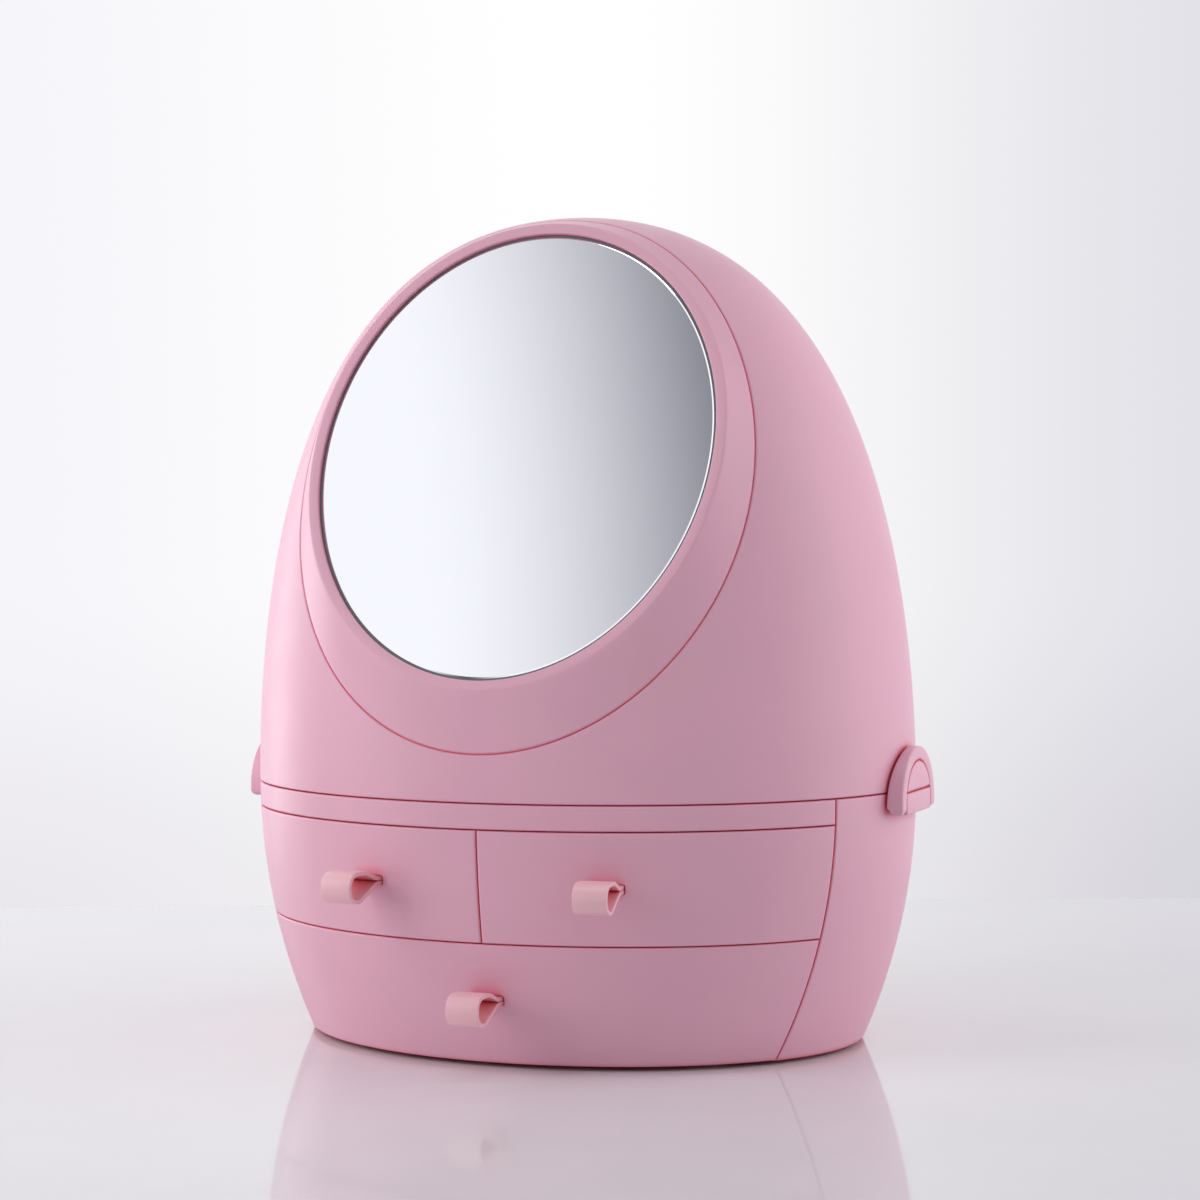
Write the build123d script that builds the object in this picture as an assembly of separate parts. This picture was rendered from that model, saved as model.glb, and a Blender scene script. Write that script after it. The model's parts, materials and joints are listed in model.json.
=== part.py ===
from build123d import *
import math
import os

# Egg-shaped cosmetics box with a tilted oval mirror in its lid and three drawers in its base.
# Millimetres, +Z up, front towards -Y. The plan centre is X = Y = 0 until the last move.

# Outer form
half_width = 150.0
half_depth = 113.0
base_bottom = 1.5
foot_half_width = 126.2
seam_height = 111.7
overall_height = 359.6
dome_side_fullness = 0.33
dome_top_fullness = 0.888
wall = 3.0

# Part lines and clearances
seam_gap = 0.4
panel_gap = 0.4
seat_clearance = 0.3
slide_clearance = 0.4
pin_clearance = 0.05
screw_clearance = 0.05

# Base, deck and shelf
floor_thickness = 2.5
front_plane = -50.0
rail_height = 10.9
deck_top_drop = 2.5
deck_thickness = 2.5
deck_rim_height = 4.0
deck_rim_thickness = 2.0
ledge_width = 6.0
ledge_height = 3.0
upper_front_height = 47.5
shelf_thickness = 2.5
partition_thickness = 2.0
guide_thickness = 2.0
guide_height = 6.0
foot_radius = 9.0
foot_recess = 1.0
foot_inset_x = 48.0
foot_inset_y = 40.0

# Drawers
tray_wall = 2.0
tray_floor = 2.0
tray_rear_margin = 55.0
tray_headroom = 3.2
lower_tray_inset = 36.0
upper_tray_inset = 38.0
drawer_screw_radius = 1.5
drawer_screw_head = 2.8
drawer_screw_head_depth = 1.6
drawer_screw_bite = 1.8
lower_screw_inset = 40.0
upper_screw_offset = 28.0

# Soft pulls
pull_width = 14.5
pull_thickness = 1.8
pull_reach = 25.0
pull_crest = 5.2
pull_drop = 8.0
pull_neck = 4.0
pull_arch_start = 12.0
pull_heel = 16.5
pull_turn = 7.0
pull_shift = 2.2
pull_upper_rise = 0.4
pull_lower_rise = 2.1
pull_slot_margin = 0.5
pull_anchor_setback = 5.6
pull_anchor_depth = 2.0
pull_anchor_width = 19.0
pull_anchor_height = 7.0

# Side latches
latch_half_width = 23.5
latch_rise = 18.4
latch_drop = 9.5
latch_band = 6.0
latch_reach = 5.0
latch_standoff = 0.6
latch_end_radius = 3.0
latch_gap = 0.5
latch_groove = 0.6
latch_groove_depth = 1.2
latch_pin_radius = 1.2
latch_block_chamfer = 0.8

# Rear hinge
hinge_setback = 6.0
hinge_barrel_radius = 5.0
hinge_pin_radius = 2.0
hinge_lid_half_length = 19.7
hinge_length = 44.0
hinge_web = 7.0

# Mirror and its ring, measured in the tilted mirror plane
mirror_tilt = 22.4
ring_side_margin = 46.0
ring_top_rise = 0.7
ring_bottom_margin = 23.6
ring_bottom_stand = 8.6
ring_side_band = 14.0
ring_top_band = 10.8
ring_bottom_band = 28.8
lip_width = 4.5
lip_rise = 0.5
ring_groove = 0.5
ring_stations = 32
ring_skirt_margin = 3.6
collar_wall = 2.5
seat_margin = 8.0
seat_thickness = 2.5
cavity_side_wall = 5.5
cavity_top_wall = 5.2
cavity_bottom_wall = 11.2
cavity_level = 8.2
glass_recess = 1.0
glass_thickness = 3.0
guide_rim = 1.1
guide_recess = 1.2
guide_flange = 4.5
guide_flange_thickness = 2.0
guide_inner_step = 8.0
loose_fit = 0.1
led_count = 24
led_length = 3.5
led_width = 2.8
led_height = 1.3
led_gap = 0.1
board_thickness = 1.6
board_inset = 1.0
board_width = 14.0
carrier_thickness = 2.5
carrier_rim = 2.5
cover_thickness = 2.5
ring_screw_count = 6
ring_screw_radius = 1.5
ring_screw_head = 2.8
ring_screw_head_depth = 1.8
ring_screw_bite = 8.0

# Light supply at the rear of the dome
pod_half_width = 32.0
pod_rise = 38.3
pod_height = 40.0
pod_depth = 26.9
pod_wall = 2.0
pod_post_width = 4.0
battery_width = 44.0
battery_height = 28.0
battery_depth = 9.0
control_board_gap = 1.0
switch_size = 6.0
switch_depth = 2.6
button_x = 14.0
button_radius = 4.0
button_flange_radius = 5.5
button_flange_depth = 1.5
button_flange_setback = 2.2
button_proud = 1.5
button_lost_motion = 1.0
socket_x = -14.0
socket_width = 9.0
socket_height = 3.4
lead_radius = 1.25
lead_hole_margin = 0.6
lead_inset = 3.9
lead_points = [(40.0, 322.0), (66.0, 300.0), (84.0, 268.0), (93.0, 230.0)]
lead_exit_level = 48.0
lead_pod_depth = 12.0

# Values worked out from the sizes above
depth_ratio = half_depth / half_width
dome_bottom = seam_height + seam_gap / 2
base_top = seam_height - seam_gap / 2
floor_top = base_bottom + floor_thickness
deck_top = base_top - deck_top_drop
deck_bottom = deck_top - deck_thickness
rail_bottom = seam_height - rail_height
drawer_split = rail_bottom - upper_front_height
shelf_top = drawer_split + shelf_thickness / 2
shelf_bottom = shelf_top - shelf_thickness
lower_tray_half_width = foot_half_width - lower_tray_inset
upper_tray_outer = half_width - upper_tray_inset
tray_back = half_depth - tray_rear_margin
lower_screw_x = lower_tray_half_width - lower_screw_inset
foot_spread_x = foot_half_width - foot_inset_x
foot_spread_y = depth_ratio * foot_half_width - foot_inset_y
pull_upper_x = upper_tray_outer / 2 - pull_shift
pull_upper_height = (drawer_split + rail_bottom) / 2 + pull_upper_rise
pull_lower_height = (base_bottom + drawer_split) / 2 + pull_lower_rise
far = 2 * overall_height


# Building blocks

def block(x0, x1, y0, y1, z0, z1):
    """An upright box between two corners."""
    return Pos((x0 + x1) / 2, (y0 + y1) / 2, (z0 + z1) / 2) * Box(x1 - x0, y1 - y0, z1 - z0)


def spin_to_egg(face, inset):
    """Turn a half profile about Z and flatten it front to back, keeping the wall even at the seam."""
    ratio = (half_depth - inset) / (half_width - inset)
    return scale(revolve(face, Axis.Z), by=(1, ratio, 1), about=(0, 0, 0))


def base_egg(inset):
    """The solid lower half of the egg, shrunk sideways by inset."""
    seam_radius = half_width - inset
    foot_radius_here = foot_half_width - inset
    side = TangentArc((seam_radius, base_top), (foot_radius_here, base_bottom), tangent=(0, -1))
    rest = Polyline((foot_radius_here, base_bottom), (0, base_bottom), (0, base_top), (seam_radius, base_top))
    return spin_to_egg(Plane.XZ * make_face([side, rest]), inset)


def dome_egg(inset):
    """The solid upper half of the egg, shrunk all round by inset."""
    radius = half_width - inset
    top = overall_height - inset
    rise = top - dome_bottom
    side = Bezier(
        (radius, dome_bottom),
        (radius, dome_bottom + dome_side_fullness * rise),
        (radius * dome_top_fullness, top),
        (0, top),
    )
    rest = Polyline((0, top), (0, dome_bottom), (radius, dome_bottom))
    return spin_to_egg(Plane.XZ * make_face([side, rest]), inset)


def base_radius(z):
    """Half-width of the lower egg at height z, on the arc from the seam to the foot."""
    height = base_top - base_bottom
    step = half_width - foot_half_width
    radius = (height**2 + step**2) / (2 * step)
    return half_width - radius + math.copysign(math.sqrt(radius**2 - (base_top - z) ** 2), radius)


def front_y(x, z):
    """Y of the base's outer skin on its front side."""
    here = base_radius(z)
    return -depth_ratio * math.sqrt(here**2 - x**2)


def ellipse_slab(inset, z0, z1, level):
    """An upright elliptical plate with the egg's outline at a level, drawn in by inset."""
    across = base_radius(level) - inset
    deep = base_radius(level) * depth_ratio - inset
    return Pos(0, 0, z0) * extrude(Ellipse(across, deep), amount=z1 - z0)


def rear_side(shape):
    """The share of a shape behind the drawer fronts."""
    return shape & block(-far, far, front_plane + panel_gap / 2, far, -far, far)


def front_side(shape, clearance=panel_gap / 2):
    """The share of a shape in front of the side walls."""
    return shape & block(-far, far, -far, front_plane - clearance, -far, far)


def screw(radius, length, head_radius, head_depth):
    """A screw along -Z with the underside of its head at the origin."""
    shank = Pos(0, 0, -length / 2) * Cylinder(radius, length)
    head = Pos(0, 0, head_depth / 2) * Cylinder(head_radius, head_depth)
    return shank + head


def group(solids):
    """Separate solids kept together in one node."""
    return Compound([solid for item in solids for solid in item.solids()])


# Mirror ring: it fills the dome's front from near the seam to the crown

tilt = math.radians(mirror_tilt)
ring_low = seam_height + ring_bottom_margin
ring_half_width = half_width - ring_side_margin
ring_half_height = (overall_height + ring_top_rise - ring_low) / (2 * math.cos(tilt))
ring_drop = (ring_bottom_band - ring_top_band) / 2
opening_half_width = ring_half_width - ring_side_band
opening_half_height = ring_half_height - (ring_bottom_band + ring_top_band) / 2
cavity_half_width = ring_half_width - cavity_side_wall
cavity_half_height = ring_half_height - (cavity_bottom_wall + cavity_top_wall) / 2
cavity_drop = ring_drop - (cavity_bottom_wall - cavity_top_wall) / 2
lead_top_level = opening_half_height - lead_inset
mirror_rise = ring_half_height + ring_drop

# Mirror plane: local x across, local y up the glass, local z out of the glass

glass_plane = Plane(
    origin=(
        0,
        mirror_rise * math.sin(tilt) - half_depth - ring_bottom_stand,
        mirror_rise * math.cos(tilt) + ring_low,
    ),
    x_dir=(1, 0, 0),
    z_dir=(0, -math.cos(tilt), math.sin(tilt)),
)


def oval(half_w, half_h, drop, low, high):
    """An oval plate parallel to the glass between two levels."""
    return extrude(glass_plane * Pos(0, -drop, low) * Ellipse(half_w, half_h), amount=high - low)


def glass_oval(inset, low, high):
    """An oval plate with the mirror opening's outline, drawn in by inset."""
    return oval(opening_half_width - inset, opening_half_height - inset, 0, low, high)


def cavity_oval(inset, low, high):
    """An oval plate with the outline of the ring's hollow, drawn in by inset."""
    return oval(cavity_half_width - inset, cavity_half_height - inset, cavity_drop, low, high)


def ring_oval(inset, low, high):
    """An oval plate with the outline of the opening in the dome, drawn in by inset."""
    return oval(ring_half_width - inset, ring_half_height - inset, ring_drop, low, high)


def around_oval(half_w, half_h, drop, count, start):
    """Points and angles evenly round an oval in the mirror plane."""
    for step in range(count):
        angle = start + 2 * math.pi * step / count
        yield half_w * math.cos(angle), half_h * math.sin(angle) - drop, angle


# Frames of the three drawer pulls: local x straight out of the front, local y up

def pull_plane(x, z, turn):
    angle = math.radians(turn)
    return Plane(
        origin=(x, front_y(x, z), z),
        x_dir=(math.sin(angle), -math.cos(angle), 0),
        z_dir=(-math.cos(angle), -math.sin(angle), 0),
    )


pull_planes = {
    "left": pull_plane(-pull_upper_x, pull_upper_height, -pull_turn),
    "right": pull_plane(pull_upper_x, pull_upper_height, pull_turn),
    "lower": pull_plane(0, pull_lower_height, 0),
}


def pull_block(plane, out0, out1, half_height, half_across):
    """A box in a pull's frame, between two distances out of the front."""
    section = Pos((out0 + out1) / 2, 0) * Rectangle(out1 - out0, 2 * half_height)
    return extrude(plane * section, amount=half_across, both=True)


def soft_pull(plane):
    """A flat strap folded into a drop-shaped loop, with a bar behind the drawer front."""
    half = pull_thickness / 2
    ply = half + loose_fit / 2
    top = pull_crest - half
    tip = pull_reach - half
    low = half - pull_drop
    start = -pull_anchor_setback - pull_anchor_depth / 2
    round_end = 0.48 * (top - low)
    bend = 0.8 * pull_neck
    spine = FilletPolyline(
        (start, ply),
        (pull_neck, ply),
        (pull_arch_start, top),
        (tip, top),
        (tip, low),
        (pull_heel, low),
        (pull_neck, -ply),
        (start, -ply),
        radius=[2 * bend, 2 * round_end, round_end, round_end, round_end, 2 * bend],
    )
    strap = extrude(plane * trace(spine, pull_thickness), amount=pull_width / 2, both=True)
    anchor = pull_block(
        plane,
        -pull_anchor_setback - pull_anchor_depth,
        -pull_anchor_setback,
        pull_anchor_height / 2,
        pull_anchor_width / 2,
    )
    return strap + anchor


# Base

def foot_spots():
    return [(x, y) for x in (-foot_spread_x, foot_spread_x) for y in (-foot_spread_y, foot_spread_y)]


def foot_pads():
    height = base_bottom + foot_recess
    return group([Pos(x, y, height / 2) * Cylinder(foot_radius, height) for x, y in foot_spots()])


def deck_screw_spots():
    """Places round the ledge, kept behind the drawer fronts."""
    across = half_width - wall - ledge_width / 2
    deep = half_depth - wall - ledge_width / 2
    angles = [math.radians(degrees) for degrees in (-12, 35, 70, 110, 145, 192)]
    return [(across * math.cos(angle), deep * math.sin(angle)) for angle in angles]


deck_screw_length = deck_thickness + ledge_height - 1.0
latch_outer_x = half_width + latch_reach
latch_pin_x = latch_outer_x - latch_end_radius
latch_pin_z = seam_height - latch_drop + latch_end_radius
latch_block_half_width = latch_half_width - latch_band - latch_gap
hinge_y = half_depth + hinge_setback


def latch_block(side):
    """The lower half of the latch boss, moulded on the base wall."""
    top = seam_height - latch_gap
    boss = block(
        half_width - wall,
        latch_outer_x,
        -latch_block_half_width,
        latch_block_half_width,
        seam_height - latch_drop,
        top,
    )
    corner = boss.edges().filter_by(Axis.Y).group_by(Axis.X)[-1].sort_by(Axis.Z)[-1]
    boss = chamfer(corner, latch_block_chamfer)
    pin_hole = Pos(latch_pin_x, 0, latch_pin_z) * Rot(90, 0, 0) * Cylinder(latch_pin_radius, far)
    return turn_to_side(boss - pin_hole, side)


def turn_to_side(shape, side):
    """A shape made for the right side, mirrored for the left when side is -1."""
    return shape if side > 0 else mirror(shape, about=Plane.YZ)


def hinge_lug(x0, x1, z0, z1):
    """A hinge barrel along X with a web reaching into the rear wall between two heights."""
    length = x1 - x0
    turn = Pos((x0 + x1) / 2, hinge_y, seam_height) * Rot(0, 90, 0)
    web = block(x0, x1, half_depth - wall, hinge_y, z0, z1)
    return web + turn * Cylinder(hinge_barrel_radius, length)


def hinge_bore():
    turn = Pos(0, hinge_y, seam_height) * Rot(0, 90, 0)
    return turn * Cylinder(hinge_pin_radius + pin_clearance, far)


def ledge(level):
    """A shelf-bearing ring inside the base wall, with its top at a level."""
    ring = base_egg(wall / 2) & block(-far, far, -far, far, level - ledge_height, level)
    return rear_side(ring - ellipse_slab(wall + ledge_width, level - ledge_height, level, level))


def base_shell():
    body = rear_side(base_egg(0))
    for side in (-1, 1):
        body += latch_block(side)
        x_low, x_high = sorted((side * (hinge_lid_half_length + panel_gap), side * hinge_length))
        body += hinge_lug(x_low, x_high, base_top - hinge_web, base_top)
    body -= base_egg(wall) & block(-far, far, -far, far, floor_top, far)
    body += base_egg(wall + panel_gap) & block(-far, far, -far, front_plane + wall, base_bottom, floor_top)
    body += ledge(deck_bottom)
    body += ledge(shelf_bottom)
    rail_front = front_plane + wall
    for side in (-1, 1):
        inner = lower_tray_half_width + slide_clearance
        x_low, x_high = sorted((side * inner, side * (inner + guide_thickness)))
        body += block(x_low, x_high, rail_front, tray_back, floor_top, floor_top + guide_height)
    for x, y in foot_spots():
        body -= Pos(x, y, base_bottom + foot_recess / 2) * Cylinder(foot_radius, foot_recess)
    for x, y in deck_screw_spots():
        hole = Cylinder(ring_screw_radius + screw_clearance, far)
        body -= Pos(x, y, 0) * hole & block(-far, far, -far, far, deck_top - deck_screw_length, far)
    return body - hinge_bore()


def top_deck():
    plate = ellipse_slab(wall + seat_clearance, deck_bottom, deck_top, base_top)
    plate += front_side(ellipse_slab(wall / 2, deck_bottom, deck_top, deck_bottom))
    rim_foot = wall + 2 * seat_clearance
    rim_top = dome_bottom + deck_rim_height
    rim = ellipse_slab(rim_foot, deck_top, rim_top, base_top)
    plate += rim - ellipse_slab(rim_foot + deck_rim_thickness, deck_top, rim_top, base_top)
    rail_span = block(-far, far, -far, far, rail_bottom + panel_gap / 2, base_top)
    plate += front_side((base_egg(0) - base_egg(wall)) & rail_span)
    for x, y in deck_screw_spots():
        plate -= Pos(x, y, deck_top) * Cylinder(ring_screw_radius + screw_clearance, 4 * deck_thickness)
        plate -= Pos(x, y, deck_top + far / 2) * Cylinder(ring_screw_head + screw_clearance, far)
    return plate


def deck_screws():
    one = screw(ring_screw_radius, deck_screw_length, ring_screw_head, ring_screw_head_depth)
    return group([Pos(x, y, deck_top) * one for x, y in deck_screw_spots()])


def drawer_shelf():
    plate = rear_side(ellipse_slab(wall + seat_clearance, shelf_bottom, shelf_top, shelf_bottom))
    plate += front_side(ellipse_slab(wall + panel_gap, shelf_bottom, shelf_top, shelf_bottom), -panel_gap)
    for side in (-1, 1):
        inner = upper_tray_outer + slide_clearance
        x_low, x_high = sorted((side * inner, side * (inner + guide_thickness)))
        plate += block(x_low, x_high, front_plane + wall, tray_back, shelf_top, shelf_top + guide_height)
    return plate


def drawer_partition():
    half = partition_thickness / 2
    panel = block(-half, half, -far, tray_back, shelf_top, deck_bottom - seat_clearance)
    return panel & base_egg(wall + panel_gap)


def hinge_pin():
    turn = Pos(0, hinge_y, seam_height) * Rot(0, 90, 0)
    return turn * Cylinder(hinge_pin_radius, 2 * hinge_length)


def latch_pins():
    reach = latch_half_width - latch_band / 3
    pin = Pos(latch_pin_x, 0, latch_pin_z) * Rot(90, 0, 0) * Cylinder(latch_pin_radius, 2 * reach)
    return group([turn_to_side(pin, side) for side in (-1, 1)])


# Drawers

def drawer_front(name, x0, x1, z0, z1):
    """A slice of the egg's front wall with a slot for the pull."""
    span = block(x0, x1, -far, far, z0, z1)
    front = front_side((base_egg(0) - base_egg(wall)) & span)
    slot_half_height = pull_thickness + loose_fit + pull_slot_margin / 2
    slot_half_width = pull_width / 2 + pull_slot_margin
    return front - pull_block(pull_planes[name], -3 * wall, 3 * wall, slot_half_height, slot_half_width)


def drawer_box(name, x0, x1, z0, z1):
    """An open tray whose front wall follows the curve behind the drawer front."""
    skin = wall + seat_clearance
    tray = base_egg(skin) & block(x0, x1, -far, tray_back, z0, z1)
    inside = block(x0 + tray_wall, x1 - tray_wall, -far, tray_back - tray_wall, z0 + tray_floor, far)
    tray -= base_egg(skin + tray_wall) & inside
    window = pull_block(
        pull_planes[name],
        -3 * pull_anchor_setback,
        0,
        pull_anchor_height / 2 + pull_slot_margin,
        pull_anchor_width / 2 + pull_slot_margin,
    )
    return tray - window


def drawer_screw_places(x_spots, z):
    """Screw frames along Y, with the head against the inside of the tray's curved front wall."""
    depth = wall + seat_clearance + tray_wall
    return [Pos(x, front_y(x, z) + depth / math.cos(math.atan2(x, half_width)), z) * Rot(-90, 0, 0) for x in x_spots]


drawers = {
    "left": {
        "front": (-far, -panel_gap / 2, drawer_split + panel_gap / 2, rail_bottom - panel_gap / 2),
        "box": (
            -upper_tray_outer,
            -partition_thickness / 2 - slide_clearance,
            shelf_top + slide_clearance,
            rail_bottom - tray_headroom,
        ),
        "screws": ([-pull_upper_x - upper_screw_offset, -pull_upper_x + upper_screw_offset], pull_upper_height),
    },
    "right": {
        "front": (panel_gap / 2, far, drawer_split + panel_gap / 2, rail_bottom - panel_gap / 2),
        "box": (
            partition_thickness / 2 + slide_clearance,
            upper_tray_outer,
            shelf_top + slide_clearance,
            rail_bottom - tray_headroom,
        ),
        "screws": ([pull_upper_x - upper_screw_offset, pull_upper_x + upper_screw_offset], pull_upper_height),
    },
    "lower": {
        "front": (-far, far, base_bottom + panel_gap / 2, drawer_split - panel_gap / 2),
        "box": (
            -lower_tray_half_width,
            lower_tray_half_width,
            floor_top + slide_clearance,
            shelf_bottom - tray_headroom,
        ),
        "screws": ([-lower_screw_x, lower_screw_x], pull_lower_height),
    },
}


def build_drawer(name, sizes):
    """Front, tray, pull and screws of one drawer, as node names and shapes."""
    places = drawer_screw_places(*sizes["screws"])
    length = wall + seat_clearance + tray_wall - (wall - drawer_screw_bite)
    one = screw(drawer_screw_radius, length, drawer_screw_head, drawer_screw_head_depth)
    hole = screw(
        drawer_screw_radius + screw_clearance,
        length + screw_clearance,
        drawer_screw_head + screw_clearance,
        far,
    )
    front = drawer_front(name, *sizes["front"])
    box = drawer_box(name, *sizes["box"])
    for place in places:
        front -= place * hole
        box -= place * hole
    return {
        f"drawer_{name}_front": front,
        f"drawer_{name}_box": box,
        f"drawer_{name}_pull": soft_pull(pull_planes[name]),
        f"drawer_{name}_screws": group([place * one for place in places]),
    }


# Latches

def latch_clip(side):
    """A half-round flip latch on two legs, its back cut to the egg, with a shallow groove round its pad."""
    arch_centre = seam_height + latch_rise - latch_half_width
    bottom = seam_height - latch_drop
    pad_bottom = seam_height + latch_gap
    pad_half_width = latch_half_width - latch_band
    inner_x = half_width - 2 * latch_reach
    face_plane = Plane(origin=(inner_x, 0, 0), x_dir=(0, 1, 0), z_dir=(1, 0, 0))

    def half_round(radius, low):
        """An arch of a radius that stands on a level."""
        disc = Pos(0, arch_centre) * Circle(radius)
        legs = Pos(0, arch_centre - radius) * Rectangle(2 * radius, 2 * radius)
        above = Pos(0, low + 2 * radius) * Rectangle(4 * radius, 4 * radius)
        return (disc + legs) & above

    clip = extrude(face_plane * half_round(latch_half_width, bottom), amount=latch_outer_x - inner_x)
    clip -= block(inner_x, latch_outer_x, -pad_half_width, pad_half_width, bottom, pad_bottom)
    groove = half_round(pad_half_width + latch_groove / 2, pad_bottom)
    groove -= half_round(pad_half_width - latch_groove / 2, pad_bottom)
    groove_depth = latch_outer_x - inner_x - latch_groove_depth
    clip -= Pos(groove_depth, 0, 0) * extrude(face_plane * groove, amount=latch_groove_depth)
    clip -= extrude(Ellipse(half_width + latch_standoff, half_depth + latch_standoff), amount=far)
    knuckle = Pos(latch_pin_x, 0, latch_pin_z) * Rot(90, 0, 0)
    leg_end = block(inner_x, latch_outer_x, -far, far, bottom, latch_pin_z)
    clip -= leg_end - knuckle * Cylinder(latch_end_radius, 4 * latch_half_width)
    clip -= knuckle * Cylinder(latch_pin_radius + pin_clearance, 2 * (latch_half_width - latch_band / 3))
    return turn_to_side(clip, side)


# Dome and mirror

def ring_screw_spots():
    """Places round the wall of the mirror ring, midway between its hollow and its outside."""
    across = (cavity_half_width + ring_half_width - ring_groove) / 2
    top = (cavity_half_height - cavity_drop + ring_half_height - ring_drop) / 2
    low = (cavity_half_height + cavity_drop + ring_half_height + ring_drop) / 2
    return around_oval(across, (top + low) / 2, (low - top) / 2, ring_screw_count, math.pi / ring_screw_count)


groove_skin = dome_egg(0).faces().sort_by(Axis.Z)[-1]


def groove_levels():
    """Points round the ring's edge with the level at which each meets the dome's skin."""
    edge_width = ring_half_width - ring_groove
    edge_height = ring_half_height - ring_groove
    for x, v, angle in around_oval(edge_width, edge_height, ring_drop, ring_stations, 0):
        start = glass_plane.from_local_coords((x, v, 0))
        hits = groove_skin.find_intersection_points(Axis(start, glass_plane.z_dir))
        yield x, v, angle, max(glass_plane.to_local_coords(point).Z for point, normal in hits)


ring_skirt_level = ring_skirt_margin - min(level for x, v, angle, level in groove_levels())
seat_level = ring_skirt_level + seat_margin
cover_level = seat_level + seat_thickness
ring_screw_length = cover_thickness + seat_thickness + ring_screw_bite


def ring_screw_place(x, v):
    """A screw frame pointing forwards, with its head behind the rear cover."""
    return glass_plane * Pos(x, v, -cover_level - cover_thickness) * Rot(180, 0, 0)


def ring_screws():
    one = screw(ring_screw_radius, ring_screw_length, ring_screw_head, ring_screw_head_depth)
    return group([ring_screw_place(x, v) * one for x, v, angle in ring_screw_spots()])


def drill_ring_screws(shape):
    hole = screw(ring_screw_radius + screw_clearance, ring_screw_length + screw_clearance, ring_screw_head, loose_fit)
    for x, v, angle in ring_screw_spots():
        shape -= ring_screw_place(x, v) * hole
    return shape


def rear_skin_y(x, z):
    """Y of the dome's outer skin at the rear, found by a line through the solid."""
    hits = groove_skin.find_intersection_points(Axis((x, 0, z), (0, 1, 0)))
    return max(point.Y for point, normal in hits)


pod_bottom = seam_height + pod_rise
pod_top = pod_bottom + pod_height
pod_middle = (pod_bottom + pod_top) / 2
pod_back = rear_skin_y(0, pod_middle) - pod_depth
lead_pod_y = pod_back + lead_pod_depth
button_skin = rear_skin_y(button_x, pod_middle)
socket_skin = rear_skin_y(socket_x, pod_middle)


def along_y(x, z, radius, y0, y1):
    """A round bar along Y."""
    return Pos(x, (y0 + y1) / 2, z) * Rot(90, 0, 0) * Cylinder(radius, y1 - y0)


def dome_shell():
    body = dome_egg(0)
    body += hinge_lug(-hinge_lid_half_length, hinge_lid_half_length, dome_bottom, dome_bottom + hinge_web)
    body -= dome_egg(wall)
    collar = ring_oval(-collar_wall, -cover_level, far) & dome_egg(wall / 2)
    body += collar
    body -= ring_oval(0, -seat_level, far)
    seat_width = ring_half_width - cavity_half_width + collar_wall
    body -= ring_oval(seat_width, -cover_level, far)
    body -= along_y(button_x, pod_middle, button_radius + loose_fit, 0, far)
    body -= block(
        socket_x - socket_width / 2 - loose_fit,
        socket_x + socket_width / 2 + loose_fit,
        0,
        far,
        pod_middle - socket_height / 2 - loose_fit,
        pod_middle + socket_height / 2 + loose_fit,
    )
    body -= hinge_bore()
    return drill_ring_screws(body)


def mirror_bezel():
    """A ring whose band runs from the dome's skin at the groove up to a flat lip round the glass."""
    lip_w = opening_half_width + lip_width
    lip_h = opening_half_height + lip_width
    lip_points = []
    skirt_points = []
    for x, v, angle, level in groove_levels():
        lip_x = lip_w * math.cos(angle)
        lip_v = lip_h * math.sin(angle)
        stretch = (lip_rise + ring_skirt_level) / (lip_rise - level)
        lip_points.append((lip_x, lip_v))
        skirt_points.append((lip_x + stretch * (x - lip_x), lip_v + stretch * (v - lip_v)))
    lip = glass_plane * Pos(0, 0, lip_rise) * make_face(Spline(*lip_points, periodic=True))
    skirt = glass_plane * Pos(0, 0, -ring_skirt_level) * make_face(Spline(*skirt_points, periodic=True))
    band = loft([skirt, lip], ruled=True)
    ring = band & ring_oval(ring_groove, -ring_skirt_level, far)
    ring += ring_oval(ring_groove, -seat_level, -ring_skirt_level)
    ring -= glass_oval(0, -seat_level, far)
    ring -= cavity_oval(0, -seat_level, -cavity_level)
    return drill_ring_screws(ring)


guide_back = cavity_level + guide_flange_thickness
glass_back = glass_recess + glass_thickness
led_back = guide_back + led_gap + led_height
board_back = led_back + board_thickness
carrier_back = board_back + carrier_thickness


def mirror_glass():
    return glass_oval(loose_fit + guide_rim + loose_fit, -glass_back, -glass_recess)


def light_guide():
    body = glass_oval(-guide_flange, -guide_back, -cavity_level)
    body += glass_oval(loose_fit, -cavity_level, -guide_recess)
    body -= glass_oval(loose_fit + guide_rim, -glass_back, far)
    return body - glass_oval(guide_inner_step, -guide_back, far)


def led_board():
    outer = board_inset - guide_flange
    ring = glass_oval(outer, -board_back, -led_back)
    return ring - glass_oval(outer + board_width, -board_back, -led_back)


def leds():
    middle = board_inset - guide_flange + board_width / 2
    spots = around_oval(opening_half_width - middle, opening_half_height - middle, 0, led_count, 0)
    one = Pos(0, 0, led_height / 2 - led_back) * Box(led_width, led_length, led_height)
    return group([glass_plane * Pos(x, v, 0) * Rot(0, 0, math.degrees(angle)) * one for x, v, angle in spots])


def lead_hole():
    bar = Pos(0, lead_top_level, 0) * Cylinder(lead_radius + lead_hole_margin, 2 * lead_exit_level)
    return glass_plane * bar


def mirror_carrier():
    plate = cavity_oval(loose_fit, -seat_level, -board_back)
    plate -= cavity_oval(loose_fit + carrier_rim, -seat_level, -carrier_back)
    return plate - lead_hole()


def mirror_rear_cover():
    across = ring_half_width - ring_groove
    plate = oval(across, ring_half_height - ring_groove, ring_drop, -cover_level - cover_thickness, -cover_level)
    return drill_ring_screws(plate - lead_hole())


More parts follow.
